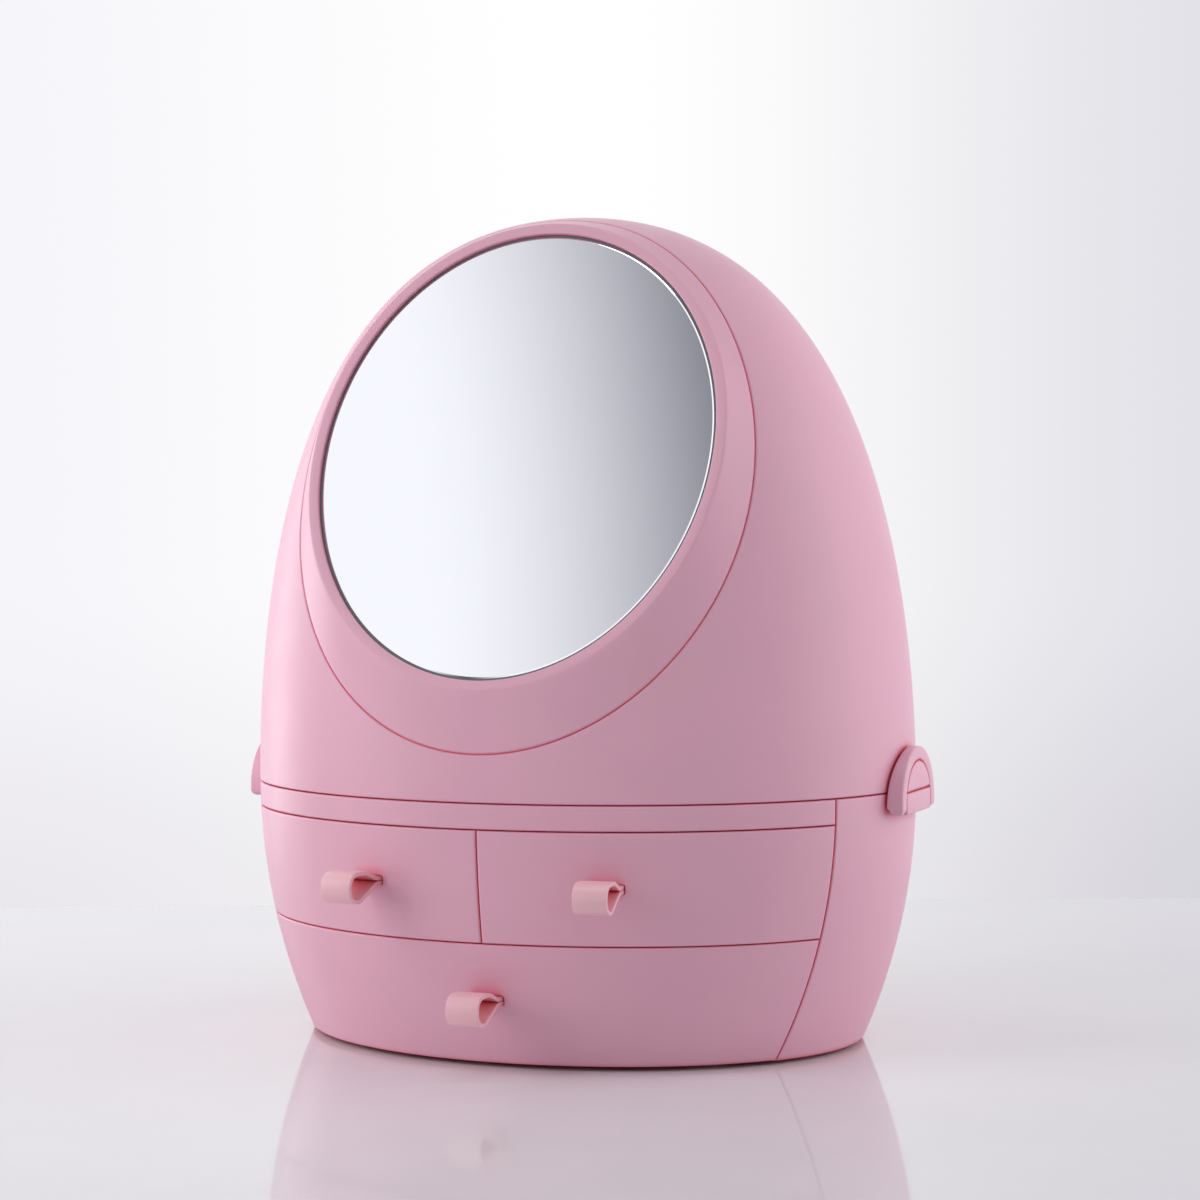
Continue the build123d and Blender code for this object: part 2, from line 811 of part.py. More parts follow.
def electronics_cover():
    outer = block(-pod_half_width, pod_half_width, pod_back, far, pod_bottom, pod_top)
    inner = block(
        -pod_half_width + pod_wall,
        pod_half_width - pod_wall,
        pod_back + pod_wall,
        far,
        pod_bottom + pod_wall,
        pod_top - pod_wall,
    )
    cover = (outer - inner) & dome_egg(wall + seat_clearance)
    edge = pod_half_width - pod_wall
    for side in (-1, 1):
        x_low, x_high = sorted((side * (edge - pod_post_width), side * edge))
        cover += block(x_low, x_high, pod_back, board_front_y, pod_bottom + pod_wall, pod_top - pod_wall)
    hole = Pos(0, lead_pod_y, pod_top) * Cylinder(lead_radius + lead_hole_margin, 4 * pod_wall)
    return cover - hole


board_front_y = pod_back + pod_wall + battery_depth + control_board_gap
board_rear_y = board_front_y + board_thickness


def battery():
    low = pod_back + pod_wall
    half = battery_height / 2
    return block(-battery_width / 2, battery_width / 2, low, low + battery_depth, pod_middle - half, pod_middle + half)


def control_board():
    half = pod_half_width - pod_wall - loose_fit
    low = pod_bottom + pod_wall + loose_fit
    high = pod_top - pod_wall - loose_fit
    return block(-half, half, board_front_y, board_rear_y, low, high)


def button_switch():
    half = switch_size / 2
    body = block(
        button_x - half,
        button_x + half,
        board_rear_y,
        board_rear_y + switch_depth,
        pod_middle - half,
        pod_middle + half,
    )
    return body


def power_button():
    start = board_rear_y + switch_depth + button_lost_motion
    flange_end = button_skin - wall - button_flange_setback
    stem = along_y(button_x, pod_middle, button_radius, start, button_skin + button_proud)
    flange = along_y(button_x, pod_middle, button_flange_radius, flange_end - button_flange_depth, flange_end)
    return stem + flange


def charge_socket():
    half_w = socket_width / 2
    half_h = socket_height / 2
    body = block(
        socket_x - half_w,
        socket_x + half_w,
        board_rear_y,
        socket_skin - wall / 2,
        pod_middle - half_h,
        pod_middle + half_h,
    )
    mouth = block(
        socket_x - half_w + 0.4,
        socket_x + half_w - 0.4,
        board_rear_y + 1.0,
        far,
        pod_middle - half_h + 0.4,
        pod_middle + half_h - 0.4,
    )
    tongue = block(
        socket_x - half_w + 1.2,
        socket_x + half_w - 1.2,
        board_rear_y,
        socket_skin - wall,
        pod_middle - 0.35,
        pod_middle + 0.35,
    )
    return body - mouth + tongue


def light_lead():
    """The lead from the light board over the rear wall to the supply, in the middle plane."""
    start = glass_plane.from_local_coords((0, lead_top_level, -board_back))
    leave = glass_plane.from_local_coords((0, lead_top_level, -lead_exit_level))
    points = [(start.Y, start.Z), (leave.Y, leave.Z)] + lead_points
    points += [(lead_pod_y, pod_top + lead_exit_level / 2), (lead_pod_y, pod_top - pod_wall)]
    radii = []
    for before, here, after in zip(points, points[1:], points[2:]):
        way_in = Vector(here[0] - before[0], here[1] - before[1])
        way_out = Vector(after[0] - here[0], after[1] - here[1])
        half_turn = math.radians(way_in.get_angle(way_out)) / 2
        radii.append(0.45 * min(way_in.length, way_out.length) / math.tan(half_turn))
    path = Plane.YZ * FilletPolyline(*points, radius=radii)
    section = Plane(origin=path @ 0, z_dir=path % 0) * Circle(lead_radius)
    return sweep(section, path=path)


nodes = {
    "base_shell": base_shell(),
    "top_deck": top_deck(),
    "deck_screws": deck_screws(),
    "drawer_shelf": drawer_shelf(),
    "drawer_partition": drawer_partition(),
    "foot_pads": foot_pads(),
    "hinge_pin": hinge_pin(),
    "latch_pins": latch_pins(),
    "latch_left_clip": latch_clip(-1),
    "latch_right_clip": latch_clip(1),
    "dome_shell": dome_shell(),
    "mirror_bezel": mirror_bezel(),
    "mirror_glass": mirror_glass(),
    "light_guide": light_guide(),
    "led_board": led_board(),
    "leds": leds(),
    "mirror_carrier": mirror_carrier(),
    "mirror_rear_cover": mirror_rear_cover(),
    "mirror_ring_screws": ring_screws(),
    "electronics_cover": electronics_cover(),
    "battery": battery(),
    "control_board": control_board(),
    "button_switch": button_switch(),
    "charge_socket": charge_socket(),
    "power_button": power_button(),
    "light_lead": light_lead(),
}
for drawer_name, drawer_sizes in drawers.items():
    nodes.update(build_drawer(drawer_name, drawer_sizes))

# The origin is the centre of the whole box on the floor
boxes = [shape.bounding_box() for shape in nodes.values()]
shift = -(min(box.min.Y for box in boxes) + max(box.max.Y for box in boxes)) / 2
print(f"shift along Y {shift:.3f}, hinge axis at Y {hinge_y + shift:.3f}")

os.makedirs("parts", exist_ok=True)
for node_name, shape in nodes.items():
    export_step(Pos(0, shift, 0) * shape, f"parts/{node_name}.step")
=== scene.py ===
# %% [markdown]
# # An egg-shaped makeup box
# The box is moulded in satin pink plastic: a base with drawers, and a dome lid with a tilted oval mirror.
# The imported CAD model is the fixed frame. It says where every piece is and how it moves. This script gives the
# pieces that show their finished form, with rounded edges, and gives every piece a finish made of nodes.

# %% Load the frame
import json
import math

import bmesh
import bpy
import numpy as np
from mathutils import Matrix, Vector


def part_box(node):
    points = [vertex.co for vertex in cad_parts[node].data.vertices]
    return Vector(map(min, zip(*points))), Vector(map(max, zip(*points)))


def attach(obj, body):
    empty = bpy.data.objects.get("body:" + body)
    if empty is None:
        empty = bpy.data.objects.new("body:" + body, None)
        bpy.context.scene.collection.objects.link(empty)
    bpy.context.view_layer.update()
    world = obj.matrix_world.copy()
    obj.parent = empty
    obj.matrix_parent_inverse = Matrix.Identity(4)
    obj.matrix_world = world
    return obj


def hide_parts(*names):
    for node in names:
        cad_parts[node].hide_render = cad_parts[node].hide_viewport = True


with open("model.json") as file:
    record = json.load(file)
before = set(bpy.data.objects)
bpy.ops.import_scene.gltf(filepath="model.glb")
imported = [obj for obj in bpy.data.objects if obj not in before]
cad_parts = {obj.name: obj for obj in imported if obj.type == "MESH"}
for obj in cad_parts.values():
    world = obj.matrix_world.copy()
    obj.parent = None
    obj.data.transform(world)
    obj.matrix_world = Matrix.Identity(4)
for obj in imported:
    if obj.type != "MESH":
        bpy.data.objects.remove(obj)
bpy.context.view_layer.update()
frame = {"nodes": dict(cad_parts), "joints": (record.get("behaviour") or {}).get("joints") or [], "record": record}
nodes = frame["nodes"]
joints = {joint["name"]: joint for joint in frame["joints"]}
print("nodes:", len(nodes), "joints:", len(joints))

# %% [markdown]
# ## The main sizes
# Each size is read from the frame where it can be. It could be typed in again, but then a change to the CAD model
# would leave this scene behind. The numbers left are those of the moulded form itself: how full the dome's curve
# is, the wall, the rounding of the edges and the gaps between pieces.

# %% Read the main sizes
MM = 0.001
wall = 3.0 * MM
part_gap = 0.4 * MM
seat_clearance = 0.3 * MM
edge_radius = 0.8 * MM
plan_y = sum(corner.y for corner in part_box("foot_pads")) / 2
half_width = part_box("dome_shell")[1].x
half_depth = plan_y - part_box("top_deck")[0].y
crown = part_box("dome_shell")[1].z
seam = joints["dome_hinge"]["pos_m"][2]
hinge_y = joints["dome_hinge"]["pos_m"][1]
dome_bottom = seam + part_gap / 2
base_top = seam - part_gap / 2
base_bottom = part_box("base_shell")[0].z
foot_half_width = 126.2 * MM
depth_ratio = half_depth / half_width
dome_side_fullness = 0.33
dome_top_fullness = 0.888
print(f"box {2 * half_width:.3f} wide, {2 * half_depth:.3f} deep, {crown:.3f} high, seam at {seam:.4f}")

# %% [markdown]
# ## The camera
# The photograph was taken with a long lens from a little above the middle of the box, to its right. Such a view
# could be set by eye, but half a degree already moves the drawer lines, so it was fitted to the outline, the seam
# and the mirror's oval. A few plain values are left: where the camera looks, from which side and height, how far
# away, and how much it rolls.

# %% Place the camera
photo_width_px = 1200
view_turn = math.radians(22.615)
view_rise = math.radians(1.861)
view_roll = math.radians(-0.495)
view_distance = 1320.4 * MM
view_focal_px = 2979.6
view_aim = Vector((7.8 * MM, 3.2 * MM + plan_y, 191.2 * MM))

view_right = Vector((math.cos(view_turn), math.sin(view_turn), 0))
view_back = Vector((
    math.sin(view_turn) * math.cos(view_rise),
    -math.cos(view_turn) * math.cos(view_rise),
    math.sin(view_rise),
))
view_up = view_back.cross(view_right)
rolled_right = view_right * math.cos(view_roll) + view_up * math.sin(view_roll)
rolled_up = view_up * math.cos(view_roll) - view_right * math.sin(view_roll)
camera_data = bpy.data.cameras.new("photo_camera")
camera_data.sensor_width = 36.0
camera_data.lens = view_focal_px / photo_width_px * camera_data.sensor_width
camera_data.clip_start = 0.01
camera = bpy.data.objects.new("photo_camera", camera_data)
camera.matrix_world = Matrix.Translation(view_aim + view_back * view_distance) @ Matrix((
    rolled_right, rolled_up, view_back)).transposed().to_4x4()
bpy.context.scene.collection.objects.link(camera)
bpy.context.scene.camera = camera
print(f"lens {camera_data.lens:.1f} mm at {[round(value, 3) for value in camera.location]}")

# %% [markdown]
# ## Helpers for node materials
# Moulded plastic is never one flat colour. It has a faint cloudiness, a roughness that wanders, and a fine grain
# from the mould. Image textures could give that, but they need unwrapped pieces and blur close up. Here noise on
# Object coordinates makes all three, which needs no unwrapping and travels with a piece when it moves.

# %% Node helpers
noise_reach = (0.32, 0.68)


def add_node(tree, kind, **settings):
    """A node with its settings and the default values of its named inputs."""
    node = tree.nodes.new(kind)
    for name, value in settings.items():
        if hasattr(node, name):
            setattr(node, name, value)
        else:
            node.inputs[name.replace("_", " ")].default_value = value
    return node


def noise_ramp(tree, coords, scale, detail, low, high):
    """Noise mapped between two colours."""
    noise = add_node(tree, "ShaderNodeTexNoise", Scale=scale, Detail=detail)
    tree.links.new(coords, noise.inputs["Vector"])
    ramp = add_node(tree, "ShaderNodeValToRGB")
    for element, position, colour in zip(ramp.color_ramp.elements, noise_reach, (low, high)):
        element.position = position
        element.color = (*colour, 1)
    tree.links.new(noise.outputs["Fac"], ramp.inputs["Fac"])
    return ramp.outputs["Color"]


def shade(colour, factor):
    return tuple(min(1.0, channel * factor) for channel in colour)


# %% Painted shade in hollows
hollow_samples = 6


def painted_hollow_shade(tree, colour, reach_mm, tint):
    """Painted shade: the colour deepens to a tint in gaps and where pieces meet, in place of light bounced there."""
    hollow = add_node(tree, "ShaderNodeAmbientOcclusion", samples=hollow_samples, Distance=reach_mm * MM)
    ramp = add_node(tree, "ShaderNodeValToRGB")
    ramp.color_ramp.elements[0].color = (*tint, 1)
    ramp.color_ramp.elements[1].color = (1, 1, 1, 1)
    tree.links.new(hollow.outputs["AO"], ramp.inputs["Fac"])
    deepened = add_node(tree, "ShaderNodeVectorMath", operation="MULTIPLY")
    tree.links.new(colour, deepened.inputs[0])
    tree.links.new(ramp.outputs["Color"], deepened.inputs[1])
    return deepened.outputs["Vector"]


# %% Moulded finish
cloud_scale = 22.0
wander_scale = 60.0
grain_strength = 0.12


def moulded_finish(name, colour, rough, grain_mm, grain_depth, cloud=0.04, blush=None, **shader_values):
    """A procedural finish: cloudy colour, wandering roughness, a fine grain, and a painted shade in hollows given as
    (reach in mm, tint).
    """
    material = bpy.data.materials.new(name)
    material.use_nodes = True
    tree = material.node_tree
    shader = tree.nodes["Principled BSDF"]
    for socket, value in shader_values.items():
        shader.inputs[socket.replace("_", " ")].default_value = value
    coords = add_node(tree, "ShaderNodeTexCoord").outputs["Object"]
    clouds_and_painted_shade = noise_ramp(tree, coords, cloud_scale, 3.0, shade(colour, 1 - cloud), shade(colour, 1 + cloud))
    # Painted shade: where pieces meet and in hollows, the colour deepens to a red tint.
    if blush:
        clouds_and_painted_shade = painted_hollow_shade(tree, clouds_and_painted_shade, *blush)
    tree.links.new(clouds_and_painted_shade, shader.inputs["Base Color"])
    wander = noise_ramp(tree, coords, wander_scale, 4.0, 3 * (rough[0],), 3 * (rough[1],))
    tree.links.new(wander, shader.inputs["Roughness"])
    grain = add_node(tree, "ShaderNodeTexNoise", Scale=1.0 / (grain_mm * MM), Detail=2.0)
    tree.links.new(coords, grain.inputs["Vector"])
    bump = add_node(tree, "ShaderNodeBump", Strength=grain_strength, Distance=grain_depth * MM)
    tree.links.new(grain.outputs["Fac"], bump.inputs["Height"])
    tree.links.new(bump.outputs["Normal"], shader.inputs["Normal"])
    return material


# %% [markdown]
# ## The finishes
# The shells are satin pink with a cool cast, the silicone pulls a warmer and softer pink, and the mirror is bright.
# Light that bounces to and fro between pink faces turns red, so gaps and folds look red and not grey. Subsurface
# scattering could give that too, but it leaves grain on thin rims, so instead the colour gets a painted red shade
# where an Ambient Occlusion node finds a hollow. The inside pieces don't show in the photograph and get plain,
# believable finishes.

# %% Make the finishes
pink = (0.78, 0.41, 0.525)
salmon = (0.89, 0.51, 0.57)
# Painted shade: reach in mm and tint of the red darkening in the shells' gaps and round the pulls' folds.
painted_gap_shade = (4.0, (1.0, 0.10, 0.22))
painted_fold_shade = (9.0, (0.80, 0.18, 0.22))
satin = {"cloud": 0.015, "blush": painted_gap_shade, "Specular_IOR_Level": 0.85}
silicone = {"cloud": 0.03, "blush": painted_fold_shade, "Specular_IOR_Level": 0.85}
finishes = {
    "body": moulded_finish("satin_pink_plastic", pink, (0.34, 0.42), 0.35, 0.012, **satin),
    "ring": moulded_finish("satin_pink_ring", pink, (0.34, 0.42), 0.35, 0.012, **satin),
    "latch": moulded_finish("satin_pink_latch", pink, (0.34, 0.42), 0.35, 0.012, **satin),
    "inner": moulded_finish("matt_pink_plastic", shade(pink, 1.05), (0.5, 0.6), 0.4, 0.02),
    "tray": moulded_finish("tray_pink_plastic", shade(pink, 1.05), (0.42, 0.5), 0.4, 0.015),
    "pull": moulded_finish("soft_silicone", salmon, (0.32, 0.42), 0.25, 0.01, **silicone),
    "foot": moulded_finish("foot_rubber", (0.52, 0.48, 0.49), (0.7, 0.85), 0.5, 0.03),
    "diffuser": moulded_finish(
        "clear_light_guide", (0.30, 0.31, 0.35), (0.12, 0.2), 1.0, 0.004, cloud=0.01, Transmission_Weight=0.5),
    "board": moulded_finish("green_board", (0.03, 0.13, 0.06), (0.32, 0.45), 0.8, 0.01, cloud=0.2),
    "lamp": moulded_finish("lamp_phosphor", (0.85, 0.72, 0.28), (0.35, 0.5), 0.3, 0.01),
    "cell": moulded_finish("wrapped_cell", (0.10, 0.11, 0.14), (0.3, 0.42), 2.0, 0.02, cloud=0.12),
    "lead": moulded_finish("lead_sleeve", (0.70, 0.68, 0.69), (0.45, 0.55), 0.6, 0.01),
    "steel": moulded_finish("zinc_steel", (0.60, 0.60, 0.62), (0.24, 0.4), 0.3, 0.006, cloud=0.06, Metallic=1.0),
    "mirror": moulded_finish(
        "silvered_glass", (0.90, 0.92, 0.93), (0.0, 0.012), 40.0, 0.0, cloud=0.004, Metallic=1.0),
}
slot_of = {entry["node"]: entry["material_slot"] for entry in frame["record"]["subparts"]}
bodies = frame["record"]["behaviour"]["bodies"]
body_of = {node: body for body, members in bodies.items() for node in members}
for node, node_object in nodes.items():
    node_object.data.materials.clear()
    node_object.data.materials.append(finishes[slot_of[node]])
print("finishes:", len(finishes))

# %% [markdown]
# ## Helpers for moulded forms
# A CAD mesh has knife-sharp edges, but a moulded edge is always a little round, and that is where the light
# catches. A Bevel modifier could round a CAD mesh, but it stumbles over long thin triangles. So most pieces here
# are loops of points joined in order, with the rounding in the points: a ring joins the last loop to the first, and
# a stack closes both ends with flat caps. A slab joins an outer and an inner grid into a closed panel.

# %% Rounded edges
edge_steps = np.array([0.0, 0.08, 0.3, 0.62, 1.0, 1.5])


def edge_drop(distance, radius):
    """How far a rounded edge lies under the flat face, at a distance from the edge."""
    inside = np.clip(radius - distance, 0, radius)
    return radius - np.sqrt(radius**2 - inside**2)


# %% Loops to faces
def ring_faces(loops):
    """Points and quads of closed loops joined in order, the last to the first."""
    loops = np.asarray(loops)
    count, around, _ = loops.shape
    faces = []
    for row in range(count):
        below = (row + 1) % count
        for step in range(around):
            ahead = (step + 1) % around
            here, under = row * around, below * around
            faces.append((here + step, here + ahead, under + ahead, under + step))
    return loops.reshape(-1, 3), faces


def stack_faces(loops):
    """Points and faces of closed loops joined in order, with a flat cap on the first and on the last."""
    points, faces = ring_faces(loops)
    count, around, _ = np.shape(loops)
    caps = [tuple(reversed(range(around))), tuple(range((count - 1) * around, count * around))]
    return points, faces[:(count - 1) * around] + caps


# %% Panels, joins and normals
def slab_faces(outer, inner):
    """Points and quads of a closed panel between two grids of the same size."""
    rows, columns, _ = outer.shape
    count = rows * columns
    faces = []
    for row in range(rows - 1):
        for column in range(columns - 1):
            corner = row * columns + column
            quad = (corner, corner + 1, corner + columns + 1, corner + columns)
            faces.append(quad)
            faces.append(tuple(count + index for index in reversed(quad)))
    rim = [(0, column) for column in range(columns - 1)]
    rim += [(row, columns - 1) for row in range(rows - 1)]
    rim += [(rows - 1, column) for column in range(columns - 1, 0, -1)]
    rim += [(row, 0) for row in range(rows - 1, 0, -1)]
    rim = [row * columns + column for row, column in rim]
    for here, ahead in zip(rim, rim[1:] + rim[:1]):
        faces.append((ahead, here, count + here, count + ahead))
    return np.concatenate([outer.reshape(-1, 3), inner.reshape(-1, 3)]), faces


def join_parts(parts):
    """Several sets of points and faces as one."""
    points = []
    faces = []
    for part_points, part_faces in parts:
        start = sum(len(block) for block in points)
        points.append(np.asarray(part_points, float))
        faces += [tuple(start + index for index in face) for face in part_faces]
    return np.concatenate(points), faces


def grid_normals(grid, closed):
    """Unit normals of a grid of points; closed grids wrap round in their second direction."""
    across = np.roll(grid, -1, 1) - np.roll(grid, 1, 1) if closed else np.gradient(grid, axis=1)
    along = np.gradient(grid, axis=0)
    normal = np.cross(across, along)
    return normal / np.linalg.norm(normal, axis=2, keepdims=True)


# %% [markdown]
# Some forms are quicker to make with Blender's own tools: a box with all its edges rounded, a hole cut by a
# Boolean, or a copy of a plain CAD piece with its sharp edges broken. These helpers turn each result back into
# points and faces, so that every piece is finished by the same last step.

# %% Points and faces of solids
def mesh_parts(mesh):
    """Points and faces of a mesh, which is then removed."""
    points = np.array([vertex.co for vertex in mesh.vertices])
    faces = [tuple(face.vertices) for face in mesh.polygons]
    bpy.data.meshes.remove(mesh)
    return points, faces


def solid_parts(solid):
    """Points and faces of a bmesh, which is then freed."""
    mesh = bpy.data.meshes.new("solid")
    solid.to_mesh(mesh)
    solid.free()
    return mesh_parts(mesh)


def rounded_box(low, high, radius, steps=3):
    """A box between two corners with all its edges rounded."""
    solid = bmesh.new()
    bmesh.ops.create_cube(solid, size=1.0)
    middle = (np.array(low) + np.array(high)) / 2
    size = np.abs(np.array(high) - np.array(low))
    for vertex in solid.verts:
        vertex.co = Vector(middle + size * np.array(vertex.co))
    bmesh.ops.bevel(solid, geom=solid.edges[:], offset=radius, segments=steps, profile=0.5, affect="EDGES")
    return solid_parts(solid)


# %% Objects and Booleans
def loose_object(name, points, faces):
    """A mesh object with its faces turned outwards, linked to the scene."""
    mesh = bpy.data.meshes.new(name)
    mesh.from_pydata([tuple(point) for point in points], [], faces)
    solid = bmesh.new()
    solid.from_mesh(mesh)
    bmesh.ops.recalc_face_normals(solid, faces=solid.faces)
    solid.to_mesh(mesh)
    solid.free()
    piece = bpy.data.objects.new(name, mesh)
    bpy.context.scene.collection.objects.link(piece)
    return piece


def carve(blank, cutter):
    """Points and faces of a blank after an exact Boolean has taken a cutter away from it."""
    blank_object = loose_object("blank", *blank)
    cutter_object = loose_object("cutter", *cutter)
    modifier = blank_object.modifiers.new("carve", "BOOLEAN")
    modifier.operation = "DIFFERENCE"
    modifier.solver = "EXACT"
    modifier.object = cutter_object
    depsgraph = bpy.context.evaluated_depsgraph_get()
    carved = bpy.data.meshes.new_from_object(blank_object.evaluated_get(depsgraph))
    bpy.data.objects.remove(blank_object)
    bpy.data.objects.remove(cutter_object)
    return mesh_parts(carved)


# %% Last step of a piece
crease_angle = math.radians(38)
merge_distance = 1e-6


def finish_piece(name, parts, slot, body, node, sharp=crease_angle):
    """A smooth-shaded piece with its finish that rides on a body and stands for a CAD node."""
    piece = loose_object(name, *parts)
    mesh = piece.data
    mesh.shade_smooth()
    mesh.set_sharp_from_angle(angle=sharp)
    mesh.materials.append(finishes[slot])
    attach(piece, body)
    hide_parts(node)
    print(f"{name}: {len(mesh.polygons)} faces")


def soften_node(node, radius):
    """A copy of a plain CAD piece with its sharp edges rounded, in place of it."""
    solid = bmesh.new()
    solid.from_mesh(nodes[node].data)
    bmesh.ops.remove_doubles(solid, verts=solid.verts, dist=merge_distance)
    bmesh.ops.dissolve_limit(solid, angle_limit=math.radians(1), verts=solid.verts, edges=solid.edges)
    sharp = [edge for edge in solid.edges if edge.calc_face_angle(0.0) > math.radians(30)]
    bmesh.ops.bevel(
        solid, geom=sharp, offset=radius, segments=2, profile=0.5, affect="EDGES", clamp_overlap=True)
    finish_piece(f"{node}_softened", solid_parts(solid), slot_of[node], body_of[node], node)


# %% [markdown]
# ## The egg
# The box is one egg, moulded in several shells. The egg is turned about its upright axis and then flattened front
# to back. It could be a subdivided cage, but then no two shells would share exactly the same skin. Here the base's
# side is one arc and the dome's side one Bezier curve, both upright where they meet at the seam. These functions
# give any point of the skin, so that each shell below is only a range of that skin with a wall behind it.

# %% Skin of the base
def base_half_width(z):
    """Half-width of the base at a height, on the arc from seam to foot."""
    height = base_top - base_bottom
    step = half_width - foot_half_width
    radius = (height**2 + step**2) / (2 * step)
    return half_width - radius + np.sqrt(radius**2 - (base_top - z) ** 2)


def base_point(turn, z, inset=0.0):
    """A point of the base's skin; turn is the angle from the front, to the right."""
    radius = base_half_width(z) - inset
    ratio = (half_depth - inset) / (half_width - inset)
    return np.stack([radius * np.sin(turn), plan_y - ratio * radius * np.cos(turn), z + 0 * turn], axis=-1)


def turn_at_y(y, z):
    """The angle from the front at which the base's skin crosses a plane of constant Y."""
    return np.arccos((plan_y - y) / (depth_ratio * base_half_width(z)))


def turn_at_x(x, z):
    return np.arcsin(x / base_half_width(z))


print(f"base half-width at its foot: {base_half_width(base_bottom):.4f}")

# %% Skin of the dome
profile_points = 600


def dome_profile(inset):
    """Half-widths and heights along the dome's side, from the seam to the crown."""
    t = np.linspace(0, 1, profile_points)
    side = half_width - inset
    top = crown - inset
    shoulder = dome_bottom + dome_side_fullness * (top - dome_bottom)
    weights = (1 - t) ** 3, 3 * t * (1 - t) ** 2, 3 * t**2 * (1 - t), t**3
    radius = weights[0] * side + weights[1] * side + weights[2] * side * dome_top_fullness
    height = weights[0] * dome_bottom + weights[1] * shoulder + (weights[2] + weights[3]) * top
    return radius, height


def squared_up(points, inset):
    """Points with the egg's flattening undone, measured from the middle of the seam."""
    ratio = (half_depth - inset) / (half_width - inset)
    return (points - np.array([0, plan_y, dome_bottom])) / np.array([1, ratio, 1])


def dome_point(direction, inset=0.0):
    """The point of the dome's skin in a direction from the middle of the seam."""
    radius, height = dome_profile(inset)
    angles = np.arctan2(height - dome_bottom, radius)
    reaches = np.hypot(height - dome_bottom, radius)
    angle = np.arctan2(direction[..., 2], np.hypot(direction[..., 0], direction[..., 1]))
    reach = np.interp(angle, angles, reaches)
    ratio = (half_depth - inset) / (half_width - inset)
    return direction * reach[..., None] * np.array([1, ratio, 1]) + np.array([0, plan_y, dome_bottom])


print(f"dome crown at {dome_profile(0.0)[1][-1]:.4f}")

# %% [markdown]
# ## The mirror plane
# The glass leans back in the dome. Its ring could be built flat and tilted afterwards, but the ring also has to meet
# the dome's skin, which isn't tilted. So points of the ring and the glass are given across the glass, up the glass
# and out of it, and one function turns these into places on the box.

# %% Sizes round the mirror
mirror_tilt = math.radians(22.4)
mirror_centre = np.array([0.0, plan_y - 71.8 * MM, 256.1 * MM])
opening_half = np.array([90.0, 101.9]) * MM
lip_half = opening_half + 4.5 * MM
lip_rise = 0.5 * MM
ring_half = np.array([104.0, 121.7]) * MM
ring_drop = 9.0 * MM
ring_groove = 0.5 * MM
seat_level = -26.0 * MM
seat_thickness = 2.5 * MM
cavity_half = np.array([98.5, 113.5]) * MM
cavity_drop = 6.0 * MM
cavity_level = -8.2 * MM
around = 192
ring_angle = np.linspace(0, 2 * np.pi, around, endpoint=False)


# %% Ovals on the mirror plane
search_range = (-70 * MM, 30 * MM)
search_steps = 45


def on_mirror(x, v, out):
    """A place on the box from its place across, up and out of the glass."""
    x, v, out = np.broadcast_arrays(x, v, out)
    up = np.array([0, math.sin(mirror_tilt), math.cos(mirror_tilt)])
    normal = np.array([0, -math.cos(mirror_tilt), math.sin(mirror_tilt)])
    side = np.array([1.0, 0, 0])
    return mirror_centre + x[..., None] * side + v[..., None] * up + out[..., None] * normal


def oval(half, drop, out):
    """A closed oval loop parallel to the glass."""
    return on_mirror(half[0] * np.cos(ring_angle), half[1] * np.sin(ring_angle) - drop, out)


def oval_level(half, drop, inset=0.0):
    """How far out of the glass plane an oval tunnel meets the dome's skin, all the way round."""
    radius, height = dome_profile(inset)
    low = np.full(around, search_range[0])
    high = np.full(around, search_range[1])
    for _ in range(search_steps):
        middle = (low + high) / 2
        place = squared_up(oval(half, drop, middle), inset)
        limit = np.interp(place[:, 2] + dome_bottom, height, radius, right=0.0)
        inside = np.hypot(place[:, 0], place[:, 1]) < limit
        low = np.where(inside, middle, low)
        high = np.where(inside, high, middle)
    return (low + high) / 2


groove_level = oval_level(ring_half, ring_drop)
print(f"groove between {groove_level.min() / MM:.1f} and {groove_level.max() / MM:.1f} mm from the glass plane")

# %% [markdown]
# ## The dome
# The dome is the lid's thin shell, open at the mirror. The opening could be cut out of a whole egg by a Boolean, but
# that leaves slivers along the cut and no clean edge to round. So the skin is a band: one edge is the oval round
# the mirror ring, the other is the seam. Each line of the band swings from a point of the oval to a point of the
# seam, over the crown at the back. Both edges are rounded, and a second band inside gives the wall its thickness.

# %% Band from the mirror to the seam
def unit(vectors):
    return vectors / np.linalg.norm(vectors, axis=-1, keepdims=True)


def swing(start, end, share):
    """Directions between two sets of unit vectors, at a share of the turn between them."""
    turn = np.arccos(np.clip(np.sum(start * end, axis=-1), -1, 1))[..., None]
    share = share[..., None]
    return (np.sin((1 - share) * turn) * start + np.sin(share * turn) * end) / np.sin(turn)


def dome_band(inset, shares):
    """Rows of points from the mirror ring's oval to the seam."""
    edge = oval(ring_half, ring_drop, oval_level(ring_half, ring_drop, inset))
    start = unit(squared_up(edge, inset))
    end = np.stack([np.cos(ring_angle), np.sin(ring_angle), 0 * ring_angle], axis=-1)
    return np.stack([dome_point(swing(start, end, share), inset) for share in shares])


